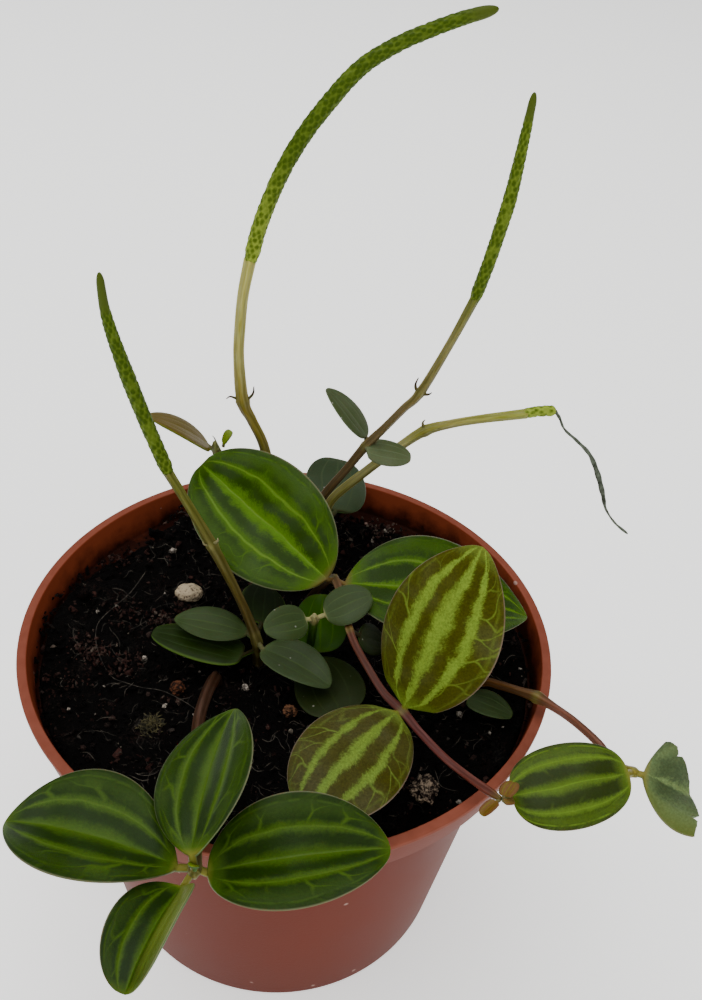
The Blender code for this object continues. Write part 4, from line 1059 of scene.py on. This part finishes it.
class PEPEROMIA_OT_granules(Operator):
    """Shape the four porous granules that lie on the soil"""
    bl_idname = "peperomia.granules"
    bl_label = "Granules"

    def execute(self, context):
        for name, (pale, dark, pitted, uneven, pores, share, skin, shift) in GRANULES.items():
            low, high = (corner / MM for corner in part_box(name))
            middle, half = (low + high) / 2 + Vector(shift), (high - low) / 2
            lump = bmesh.new()
            bmesh.ops.create_icosphere(lump, subdivisions=5, radius=1.0)
            for vertex in lump.verts:
                p = vertex.co.copy()
                pit = max(0.0, 0.34 - noise.voronoi(p * 4.2 + middle)[0][0]) * pitted * 2
                rough = skin + uneven * noise.fractal(p * 1.6 + middle, 0.7, 2.2, 4) - pit
                vertex.co = middle + Vector([half[i] * p[i] * rough for i in range(3)])
            look = fired_clay(f"fired_clay_{name[-1]}", pale, dark, pores, share)
            place(f"{name}_porous", lump, look, "granule", name)
        return {"FINISHED"}


# Stems
def nearest_joint(point, joints):
    """How close a point of a stem is to one of its joints, from 0 to 1."""
    return max([math.exp(-((point - joint).length / JOINT_REACH) ** 2) for joint in joints] or [0.0])


def tint_at(tints, point):
    """A stem's linear colour at a place that is counted in points."""
    for (first, one), (last, two) in zip(tints, tints[1:]):
        if point <= last:
            return Vector(linear(one)[:3]).lerp(Vector(linear(two)[:3]), (point - first) / (last - first))
    return Vector(linear(tints[-1][1])[:3])


def stem_shape(name, points, radii, sides, joint):
    """A four-cornered stem that swells and turns paler at its joints."""
    steps = 10
    points = list(points)
    if name.startswith("flower"):
        # The flower stem runs on a little way into its spike
        tip = Vector(points[-1])
        points[-1] = tip + (tip - Vector(points[-2])).normalized() * SPIKE_ROOT
    line, values = through(points, steps), through([(r, 0.0, 0.0) for r in radii], steps)
    feet = [Vector(leaf[0]) for leaf in [*LARGE_LEAVES.values(), *SMALL_LEAVES.values()]]
    feet += [Vector(path[0]) for paths in BRACTS.values() for path in paths]
    feet.append(Vector(STEMS["stem_c"][0][6]))  # a joint that bears nothing
    joints = [foot for foot in feet if min((foot - p).length for p in line) < JOINT_NEAR]
    gone = [0.0]
    for a, b in zip(line, line[1:]):
        gone.append(gone[-1] + (b - a).length)
    near = [nearest_joint(p, joints) for p in line]
    tints = [tint_at(STEM_TINTS[name], row / steps).lerp(joint, 0.6 * near[row])
             for row in range(len(line))]

    def corner(side):
        return math.cos(math.tau * 4 * side / sides)

    def reach(row, side):
        round_radius = values[row][0] * STEM_SKIN
        radius = round_radius * (1 + STEM_SQUARENESS * corner(side)) * (1 + JOINT_SWELL * near[row])
        return radius, radius

    def along(row, side):
        angle = math.tau * side / sides
        return 0.16 * gone[row], 2.2 * math.cos(angle), 2.2 * math.sin(angle)

    # The corners are painted lighter and the flats between them darker, by up to 22%: painted highlights
    # along the ridges
    def tint(row, side):
        return tints[row] * (1 + 0.22 * corner(side))

    return tube(line, reach, sides, {"along": along, "tint": tint})


def bract_shape(path, thickness, foot, tip):
    """A small dried scale, hooked and tapering to a hair."""
    root = Vector(path[0])
    line = through([root + (Vector(point) - root) * BRACT_STRETCH for point in path], 6)
    last = len(line) - 1

    def reach(row, side):
        taper = thickness * (1 - 0.8 * row / last)
        return taper, taper * 0.6

    return tube(line, reach, 8, {"along": lambda row, side: (row, side, 0.0),
                                 "tint": lambda row, side: foot.lerp(tip, min(1.0, 1.5 * row / last))})


class PEPEROMIA_OT_stems(Operator):
    """Grow the four-cornered stems with their small scales"""
    bl_idname = "peperomia.stems"
    bl_label = "Stems"

    def execute(self, context):
        settings = context.scene.peperomia_stems
        look = stem_skin()
        joint = Vector(settings.joint[:3])
        scales = {"flower_stem_3": settings.pale_scale, "flower_stem_4": settings.green_scale}
        for name, (points, radii) in STEMS.items():
            tip = Vector(scales.get(name, settings.scale)[:3])
            half = BRACT_HALF if name.startswith("flower") else STIPULE_HALF
            shapes = [stem_shape(name, points, radii, settings.sides, joint)]
            shapes += [bract_shape(path, half, joint, tip) for path in BRACTS.get(name, ())]
            slot = "khaki_stem" if name in ("flower_stem_1", "flower_stem_4") else "red_brown_stem"
            place(f"{name}_skin", joined(shapes), look, slot, name)
        return {"FINISHED"}


# Flower spikes
def spike_shape(points, base_radius, middle_radius, tip_radius, smooth_tip, foot_pale, pale, pointed,
                cell, relief, seed):
    """A spike whose skin rises in staggered cells and closes to a blunt, smooth tip."""
    fine = 7  # rows and sides of faces to a cell
    line, gone = evenly(through(points, 10), cell / fine)
    rows = len(line) - 1
    length = gone[-1]
    cells = round(math.tau * middle_radius / (cell * 1.15))
    sides = cells * fine
    chances = random.Random(seed)
    table = [[(chances.random(), chances.uniform(-0.24, 0.24)) for _ in range(cells)]
             for _ in range(rows // fine + 3)]

    def radius_at(share):
        if share < 0.5:
            radius = base_radius + (middle_radius - base_radius) * share * 2
        else:
            radius = middle_radius + (tip_radius - middle_radius) * (share * 2 - 1)
        ending = (1 - share) * length / tip_radius / pointed
        if ending < 1:
            radius *= math.sqrt(max(0.0, 1 - (1 - ending) ** 2))
        if share * length < 1.8:
            radius *= 0.78 + 0.22 * share * length / 1.8
        return radius

    def nearest(row, side):
        """Height on the nearest cell, and that cell's own chance."""
        place_along, place_round = row / fine, side / sides * cells
        best, luck = 9.0, 0.0
        for ring in (math.floor(place_along), math.floor(place_along) + 1):
            offset = 0.5 * (ring % 2)
            number = round(place_round - offset)
            chance, jitter = table[ring][number % cells]
            dx = place_round - offset - number + jitter * 0.6
            dy = place_along - ring - jitter
            away = math.hypot(dx / (0.48 + 0.14 * chance), dy / (0.95 - 0.25 * chance))
            if away < best:
                best, luck = away, chance
        return max(0.0, 1 - best * best), luck

    def tip_share(row):
        return min(1.0, max(0.0, (gone[row] / length - 1 + smooth_tip) / 0.06 + 0.5))

    def paleness(row):
        return foot_pale + (pale - foot_pale) * min(1.0, 3 * gone[row] / length)

    def reach(row, side):
        dome, _ = nearest(row, side)
        radius = radius_at(gone[row] / length) + relief * (dome - 0.4) * (1 - tip_share(row))
        if row == rows:
            radius = 0.0
        return radius, radius

    def mark(row, side):
        dome, luck = nearest(row, side)
        return dome * (1.0 if luck > 0.12 + 0.2 * paleness(row) else 0.45), tip_share(row), paleness(row)

    return tube(line, reach, sides, {"cell": mark})


def thread_shape():
    """The withered end of the fourth spike: a thin ribbon that twists as it hangs."""
    line = through(THREAD, 10)
    widths = through([(r, 0.0, 0.0) for r in THREAD_RADII], 10)
    sides = 14
    last = len(line) - 1
    sheet, spots, _ = wrapped_grid(sides, last)
    axes = frames(line)
    for vertex, side, row in spots:
        angle = math.tau * side / sides
        twist = 0.9 + 4.2 * row / last
        one = axes[row][0] * math.cos(twist) + axes[row][1] * math.sin(twist)
        two = axes[row][1] * math.cos(twist) - axes[row][0] * math.sin(twist)
        wide = widths[row][0] * (1.12 + 0.12 * math.sin(row * 0.9))
        flat = 0.8 - 0.45 * math.sin(math.pi * row / last)
        end = 0.4 if row in (0, last) else 1.0
        vertex.co = line[row] + end * wide * (math.cos(angle) * one + flat * math.sin(angle) * two)
    close(sheet)
    return sheet


class PEPEROMIA_OT_spikes(Operator):
    """Raise the flower spikes and hang the withered end of the fourth"""
    bl_idname = "peperomia.spikes"
    bl_label = "Flower spikes"

    def execute(self, context):
        settings = context.scene.peperomia_spikes
        look = spike_skin(settings)
        for seed, (name, row) in enumerate(SPIKES.items()):
            sheet = spike_shape(*row, settings.cell / MM, settings.relief / MM, seed)
            place(f"{name}_skin", sheet, look, "flower_spike", name)
        dry = withered_skin("withered_spike", "5A6252", "2A3020")
        place("dried_spike_thread", thread_shape(), dry, "dried_spike", "dried_spike_tail")
        return {"FINISHED"}


# Leaves
def blade_axes(heading, rise, roll):
    """The directions along, across and out of a leaf's blade."""
    turn, lift, lean = (math.radians(v) for v in (heading, rise, roll))
    along = Vector((math.cos(lift) * math.cos(turn), math.cos(lift) * math.sin(turn), math.sin(lift)))
    up = Vector((-math.sin(lift) * math.cos(turn), -math.sin(lift) * math.sin(turn), math.cos(lift)))
    side = up.cross(along)
    return along, side * math.cos(lean) - up * math.sin(lean), up * math.cos(lean) + side * math.sin(lean)


def petiole_half(length):
    """Half the width of the stalk of a leaf of this length."""
    return min(PETIOLE_HALF_MOST, PETIOLE_HALF_LEAST + length * PETIOLE_PER_LENGTH)


def blade_half(u, fullness, sharpness):
    """Share of the greatest half width at u along the blade, from 0 at its base to 1."""
    widest = fullness / (fullness + sharpness)
    most = widest ** fullness * (1 - widest) ** sharpness
    return u ** fullness * (1 - u) ** sharpness / most


def groove(u, w):
    """How far the veins sink the blade at u, w: deepest halfway along."""
    deep = sum(depth * math.exp(-((abs(w) - vein) / width) ** 2)
               for vein, depth, width in zip(VEIN_PLACES, VEIN_DEPTHS, VEIN_WIDTHS))
    return deep * math.sin(math.pi * min(1.0, max(0.0, u))) ** 0.6


def stem_reach(foot):
    """How far the corners of the stem stand out from its middle at the nearest listed point."""
    found = [((Vector(point) - foot).length, radius)
             for points, radii in STEMS.values() for point, radius in zip(points, radii)]
    return min(found)[1] * (1 + STEM_SQUARENESS)


class Blade:
    """One leaf blade: where each of its points is, in millimetres."""

    def __init__(self, leaf, torn=False):
        self.foot, self.base = Vector(leaf[0]), Vector(leaf[1])
        self.length, self.width, self.fullness, self.sharpness = leaf[5:9]
        self.axes = blade_axes(*leaf[2:5])
        self.droop, self.cup, self.fold = (math.radians(v) for v in leaf[9:12])
        self.torn = torn
        clear = stem_reach(self.foot) + PETIOLE_GAP + PETIOLE_ROOM - (self.base - self.foot).length
        self.start = max(0.0, clear / self.length)

    def section(self, u):
        """Middle, normal and half width of the blade at u."""
        along, _, up = self.axes
        bend = self.droop
        middle = (self.base + along * (self.length * math.sin(bend * u) / bend)
                  - up * (self.length * (1 - math.cos(bend * u)) / bend))
        normal = along * math.sin(bend * u) + up * math.cos(bend * u)
        narrow = petiole_half(self.length) * (1 - u) + min(TIP_HALF, self.width / 14) * u
        shape = blade_half(min(1.0, max(0.0, u)), self.fullness, self.sharpness)
        if self.start > 0:
            shape *= min(1.0, max(0.0, (u - self.start) / 0.06)) ** 0.5
        half = narrow + (self.width / 2 - narrow) * shape
        if u > 0.985:
            half *= math.sqrt(max(0.0, 1 - ((u - 0.985) / 0.015) ** 2))
        return middle, normal, half

    def point(self, u, w, depth):
        """A point at u along and w across the blade, `depth` above its middle sheet."""
        middle, normal, half = self.section(u)
        side = self.axes[1] * (1 if w >= 0 else -1)
        reach = half * abs(w)
        if self.torn:
            wide, gain = TORN_UPPER if w > 0 else TORN_LOWER
            reach *= wide + gain * u
        soft = math.sqrt(reach * reach + 0.5) - math.sqrt(0.5)
        curl = self.cup / (self.width / 2)
        out = (math.sin(self.fold) - math.sin(self.fold - curl * reach)) / curl
        lift = (math.cos(self.fold - curl * soft) - math.cos(self.fold)) / curl
        tilt = (self.fold - curl * reach) * min(1.0, reach / 0.8)
        facing = normal * math.cos(tilt) - side * math.sin(tilt)
        return middle + normal * lift + side * out + facing * depth

    def end(self, w):
        """How far along the blade goes at w: to its tip, or to the tear."""
        if not self.torn:
            return 1.0
        for (first, one), (last, two) in zip(TEAR, TEAR[1:]):
            if w <= last:
                ragged = 0.006 * noise.noise(Vector((w * 25, 0, 0)))
                return one + (two - one) * (w - first) / (last - first) + ragged
        return TEAR[-1][1]


def blade_shape(blade, rows, columns, thickness, crease, seed):
    """The closed blade with its stalk: the upper face runs one way across and the underside back."""
    sheet, spots, layers = wrapped_grid(columns * 2, STALK_ROWS + rows, "blade", "reach")
    blade_layer, reach_layer = layers
    first = blade.point(blade.start, 0.0, 0.0)
    side = blade.axes[1]
    stalk_half = petiole_half(blade.length)
    toward = (first - blade.foot).normalized()
    stalk_up = side.cross(toward).normalized()
    if stalk_up.dot(blade.axes[2]) < 0:
        stalk_up.negate()
    root = blade.foot + toward * stem_reach(blade.foot) * 0.5
    for vertex, column, row in spots:
        upper = column <= columns
        t = column / columns * 2 - 1 if upper else 3 - column / columns * 2
        w = math.copysign(1 - (1 - abs(t)) ** 1.35, t)
        face = 0.0 if abs(w) == 1 else (1.0 if upper else -1.0)
        if row < STALK_ROWS:
            share = row / STALK_ROWS
            middle = root.lerp(first, share)
            high = stalk_half * STALK_FLATNESS * math.sqrt(max(0.0, 1 - w * w))
            vertex.co = middle + side * w * stalk_half + stalk_up * high * face
            vertex[blade_layer] = (-0.03 * (1 - share), w, face)
            vertex[reach_layer] = (-3 + 3 * share, w * stalk_half, seed)
            continue
        share = (row - STALK_ROWS) / rows
        share = 0.4 * share + 0.6 * (1 - math.cos(math.pi * share)) / 2
        u = blade.start + (blade.end(w) - blade.start) * share
        opened = min(1.0, (u - blade.start) / 0.12)
        power = 2 + 4 * opened
        thick = (stalk_half * STALK_FLATNESS) * (1 - opened) + thickness / 2 * opened
        thin = 1.0 if blade.torn else 1 - 0.5 * max(0.0, (u - 0.8) / 0.2)
        rest = thick * thin * math.sqrt(max(0.0, (1 - abs(w) ** power) * (1 - share ** 30)))
        vertex.co = blade.point(u, w, rest * face - crease * groove(u, w) * opened)
        vertex[blade_layer] = (u, w, face)
        half = blade.section(u)[2]
        vertex[reach_layer] = (u * blade.length, w * half, seed)
    close(sheet)
    return sheet


# The stripes of each kind of leaf, as leaf_skin takes them
STRIPES = {
    "broad": ((MIDRIB, 0.17, 1.0, 0.09, 0.25), (LATERAL, 0.11, 0.6, 0.07, 0.1),
              (LATERAL, 0.035, 0.9, 0.015, 0.4), (0.78, 0.16, 0.25, 0.12, 0.0)),
    "narrow": ((MIDRIB, 0.12, 0.9, 0.06, 0.3), (LATERAL, 0.09, 0.5, 0.06, 0.2),
               (LATERAL, 0.035, 0.9, 0.015, 0.4), (0.78, 0.16, 0.25, 0.12, 0.0)),
    "soft": ((MIDRIB, 0.15, 0.7, 0.05, 0.1), (MIDRIB, 0.03, 1.0, 0.01, 0.3),
             (0.57, 0.12, 0.75, 0.05, 0.15), (0.57, 0.03, 0.95, 0.01, 0.3), (0.78, 0.16, 0.4, 0.1, 0.0)),
    "clear": ((MIDRIB, 0.155, 1.0, 0.085, 0.3), (MIDRIB, 0.06, 1.0, 0.02, 0.2),
              (LATERAL, 0.105, 1.0, 0.075, 0.3), (LATERAL, 0.04, 1.0, 0.015, 0.2)),
    "fine": ((MIDRIB, 0.125, 1.0, 0.075, 0.3), (MIDRIB, 0.05, 1.0, 0.02, 0.2),
             (LATERAL, 0.085, 0.95, 0.065, 0.3), (LATERAL, 0.035, 0.95, 0.015, 0.2)),
    "faint": ((MIDRIB, 0.15, 0.55, 0.045, 0.1), (MIDRIB, 0.04, 0.5, 0.015, 0.1),
              (LATERAL, 0.09, 0.5, 0.04, 0.1), (LATERAL, 0.03, 0.6, 0.012, 0.2),
              (0.78, 0.14, 0.15, 0.1, 0.0)),
    "bruised": ((MIDRIB, 0.11, 1.0, 0.09, 0.1), (0.68, 0.3, 0.6, 0.12, 0.0)),
}


class PEPEROMIA_OT_large_leaves(Operator):
    """Grow the ten large striped leaves"""
    bl_idname = "peperomia.large_leaves"
    bl_label = "Large leaves"

    def execute(self, context):
        settings = context.scene.peperomia_leaves
        green, lime, bronze = tuple(settings.green), tuple(settings.lime), tuple(settings.bronze)
        wide = leaf_skin("broad_striped_leaf", settings, green, lime, STRIPES["broad"], looped=0.5,
                         net=0.55, hem=0.45, fine=0.1)
        bumpy = leaf_skin("pebbled_striped_leaf", settings, green, lime, STRIPES["narrow"], net=0.5,
                          fine=0.1, pebble=4.0, gloss=0.32)
        veined = leaf_skin("dark_striped_leaf", settings, linear("263204"), linear("5C781E"),
                           STRIPES["soft"], fine=0.1, pebble=4.0, gloss=0.34, thread=0.0, looped=0.8,
                           hem=0.9, stalk="7E7430")
        netted = {"net": 0.75, "fine": 0.09, "apart": 5.5, "looped": 0.6, "hem": 0.22, "mottle": 0.28,
                  "pebble": 0.8, "gloss": 0.45, "thread": 0.0, "stalk": "6E6A26", "edge": "7A6A5C"}
        brown = leaf_skin("bronze_striped_leaf", settings, bronze, linear("6E862A"), STRIPES["clear"],
                          **netted)
        ruddy = leaf_skin("ruddy_striped_leaf", settings, linear("3C3A10"), linear("647A2C"),
                          STRIPES["fine"], **netted)
        smooth = {"net": 0.55, "fine": 0.12, "looped": 0.35, "pebble": 0.5, "thread": 0.04,
                  "stalk": "7E7830"}
        deep = leaf_skin("deep_green_leaf", settings, linear("1B2F03"), linear("4C6A16"), STRIPES["faint"],
                         **smooth)
        folded = leaf_skin("folded_green_leaf", settings, linear("172A02"), linear("4C6A12"),
                           STRIPES["faint"], pale_side=1.0, pale="627026", **smooth)
        torn = leaf_skin("bruised_leaf", settings, linear("465336"), linear("667848"), STRIPES["bruised"],
                         net=0.15, looped=0.0, hem=0.0, mottle=0.25, pebble=0.8, gloss=0.42,
                         specks=0.8, thread=0.0, stalk="7E7430", pale_side=-0.2, pale="626C22")
        looks = {"leaf_01": wide, "leaf_02": bumpy, "leaf_03": brown, "leaf_04": ruddy,
                 "leaf_08": folded, "leaf_09": veined, "leaf_10": torn}
        for seed, (name, row) in enumerate(LARGE_LEAVES.items()):
            blade = Blade(row, torn=name == TORN_LEAF)
            thickness = settings.thickness / MM
            sheet = blade_shape(blade, settings.rows, settings.columns, thickness, LARGE_CREASE,
                                9.0 * seed)
            slot = "bronze_leaf" if name in ("leaf_03", "leaf_04") else "dark_green_leaf"
            place(f"{name}_blade", sheet, looks.get(name, deep), slot, name)
        return {"FINISHED"}


class PEPEROMIA_OT_small_leaves(Operator):
    """Grow the small plain leaves and the half-open buds"""
    bl_idname = "peperomia.small_leaves"
    bl_label = "Small leaves"

    def execute(self, context):
        settings = context.scene.peperomia_leaves

        def plain(name, dark, stripe, edge="566642", rim=0.96, stalk="5A5638"):
            stripes = ((MIDRIB, 0.045, 1.0, 0.008, 0.2), (LATERAL, 0.03, 1.0, 0.008, 0.2))
            return leaf_skin(name, settings, linear(dark), linear(stripe), stripes, net=0.0, looped=0.0,
                             hem=0.0, mottle=0.08, gloss=0.42, thread=0.0, specks=0.8, edge=edge, rim=rim,
                             stalk=stalk)

        young = plain("young_leaf", "324020", "3E4E2A")
        paired = plain("paired_young_leaf", "324020", "3E4E2A", stalk="9A9464")
        lighter = plain("lighter_young_leaf", "424C2E", "4C583A")
        pale = plain("palest_young_leaf", "4E5838", "586444")
        low = plain("low_young_leaf", "34402A", "3A462C", stalk="3A3A1C")
        # The next two looks are darker copies of the young leaf's colours: painted shade on small leaves that
        # lie under others
        dim = plain("shaded_young_leaf", "1C2A0A", "263616", "4E6A22", 0.86, "2A2412")
        shade_darkened_leaf = plain("shade_darkened_young_leaf", "222B10", "283216", "2A3418", 0.9, "2A2412")
        bright = plain("backlit_young_leaf", "38600C", "4A7210")
        olive = plain("olive_young_leaf", "5C4C12", "645A22", "66701E", 0.86)
        bud = plain("bud_leaf", "6A4C22", "6E7018", "5A3A24", 0.7)
        fresh = plain("fresh_bud_leaf", "5E7208", "6E821A", "4E5A2A", 0.75)
        looks = {"small_leaf_01": lighter, "small_leaf_02": pale, "small_leaf_03": low, "small_leaf_05": dim,
                 "small_leaf_06": paired, "small_leaf_08": paired, "small_leaf_09": dim,
                 "small_leaf_10": bright, "small_leaf_11": shade_darkened_leaf,
                 "small_leaf_12": shade_darkened_leaf, "small_leaf_14": olive}
        slots = {"small_leaf_10": "bright_green_leaf", "small_leaf_14": "olive_leaf"}
        rows, columns = settings.rows // 2, settings.columns // 2
        for seed, (name, row) in enumerate(SMALL_LEAVES.items()):
            blade = Blade(row)
            sheet = blade_shape(blade, rows, columns, SMALL_THICKNESS, SMALL_CREASE, 5.0 * seed)
            place(f"{name}_blade", sheet, looks.get(name, young), slots.get(name, "grey_green_leaf"), name)
        for seed, (name, row) in enumerate(BUD_LEAVES.items()):
            blade = Blade(row)
            sheet = blade_shape(blade, rows // 2, columns // 2, BUD_THICKNESS, BUD_CREASE, 5.0 * seed)
            place(name, sheet, bud if name.startswith("stem_b") else fresh, "olive_leaf")
        return {"FINISHED"}


# The stage
def lamp(name, spot, size, power):
    """A round soft light that faces the middle of the plant."""
    light = bpy.data.lights.new(name, "AREA")
    light.shape = "DISK"
    light.size = size
    light.energy = power
    made = bpy.data.objects.new(name, light)
    made.location = spot
    made.rotation_euler = (Vector(LIT_PLACE) - Vector(spot)).to_track_quat("-Z", "Y").to_euler()
    bpy.context.scene.collection.objects.link(made)


class PEPEROMIA_OT_stage(Operator):
    """Set the pale floor, the soft light and the camera"""
    bl_idname = "peperomia.stage"
    bl_label = "Stage"

    def execute(self, context):
        settings = context.scene.peperomia_stage
        sheet = bmesh.new()
        bmesh.ops.create_circle(sheet, cap_ends=True, radius=6.0, segments=64)
        mesh = bpy.data.meshes.new("studio_floor")
        sheet.to_mesh(mesh)
        sheet.free()
        # A seamless paper floor: white and dull
        paper, _, shader = new_material("studio_paper", 0.9)
        white = tuple(settings.floor)
        fill(shader, {"Base Color": white, "Specular IOR Level": 0.1, "Emission Color": white,
                      "Emission Strength": settings.glow})
        mesh.materials.append(paper)
        floor = bpy.data.objects.new("studio_floor", mesh)
        context.scene.collection.objects.link(floor)

        world = bpy.data.worlds.new("studio_sky")
        world.use_nodes = True
        fill(world.node_tree.nodes["Background"], {"Color": linear("FBFCFF"), "Strength": settings.sky})
        context.scene.world = world
        lamp("overhead_softbox", (-0.3, 0.1, 1.5), 2.2, settings.softbox)
        lamp("front_fill", (0.4, -1.1, 0.8), 1.2, settings.softbox * FILL_SHARE)

        lens = bpy.data.cameras.new("camera")
        lens.lens = settings.lens
        lens.clip_start = 0.01
        camera = bpy.data.objects.new("camera", lens)
        down, turn, tilt = (math.radians(v) for v in (CAMERA_DOWN, CAMERA_TURN, CAMERA_TILT))
        camera.matrix_world = (Matrix.Translation(Vector(CAMERA_PLACE) * MM)
                               @ Matrix.Rotation(turn, 4, "Z")
                               @ Matrix.Rotation(math.pi / 2 - down, 4, "X")
                               @ Matrix.Rotation(tilt, 4, "Z"))
        context.scene.collection.objects.link(camera)
        context.scene.camera = camera
        return {"FINISHED"}


class PEPEROMIA_PT_panel(Panel):
    """The settings and steps of the potted peperomia"""
    bl_label = "Potted beetle peperomia"
    bl_space_type = "VIEW_3D"
    bl_region_type = "UI"
    bl_category = "Peperomia"

    def draw(self, context):
        for group, operators in STEPS.items():
            box = self.layout.box()
            settings = getattr(context.scene, group)
            for key in settings.bl_rna.properties.keys():
                if key not in ("rna_type", "name"):
                    box.prop(settings, key)
            for operator in operators:
                box.operator(operator.bl_idname)


SETTINGS = {
    "peperomia_pot": PEPEROMIA_PG_pot, "peperomia_soil": PEPEROMIA_PG_soil,
    "peperomia_stems": PEPEROMIA_PG_stems, "peperomia_spikes": PEPEROMIA_PG_spikes,
    "peperomia_leaves": PEPEROMIA_PG_leaves, "peperomia_stage": PEPEROMIA_PG_stage,
}
STEPS = {
    "peperomia_pot": (PEPEROMIA_OT_pot,),
    "peperomia_soil": (PEPEROMIA_OT_soil, PEPEROMIA_OT_granules),
    "peperomia_stems": (PEPEROMIA_OT_stems,),
    "peperomia_spikes": (PEPEROMIA_OT_spikes,),
    "peperomia_leaves": (PEPEROMIA_OT_large_leaves, PEPEROMIA_OT_small_leaves),
    "peperomia_stage": (PEPEROMIA_OT_stage,),
}
CLASSES = (*SETTINGS.values(), *(operator for group in STEPS.values() for operator in group),
           PEPEROMIA_PT_panel)


def register():
    for item in CLASSES:
        bpy.utils.register_class(item)
    for name, group in SETTINGS.items():
        setattr(bpy.types.Scene, name, PointerProperty(type=group))


def unregister():
    for name in SETTINGS:
        delattr(bpy.types.Scene, name)
    for item in reversed(CLASSES):
        bpy.utils.unregister_class(item)


def main():
    register()
    bpy.ops.peperomia.pot()
    bpy.ops.peperomia.soil()
    bpy.ops.peperomia.granules()
    bpy.ops.peperomia.stems()
    bpy.ops.peperomia.spikes()
    bpy.ops.peperomia.large_leaves()
    bpy.ops.peperomia.small_leaves()
    bpy.ops.peperomia.stage()


if __name__ == "__main__":
    main()
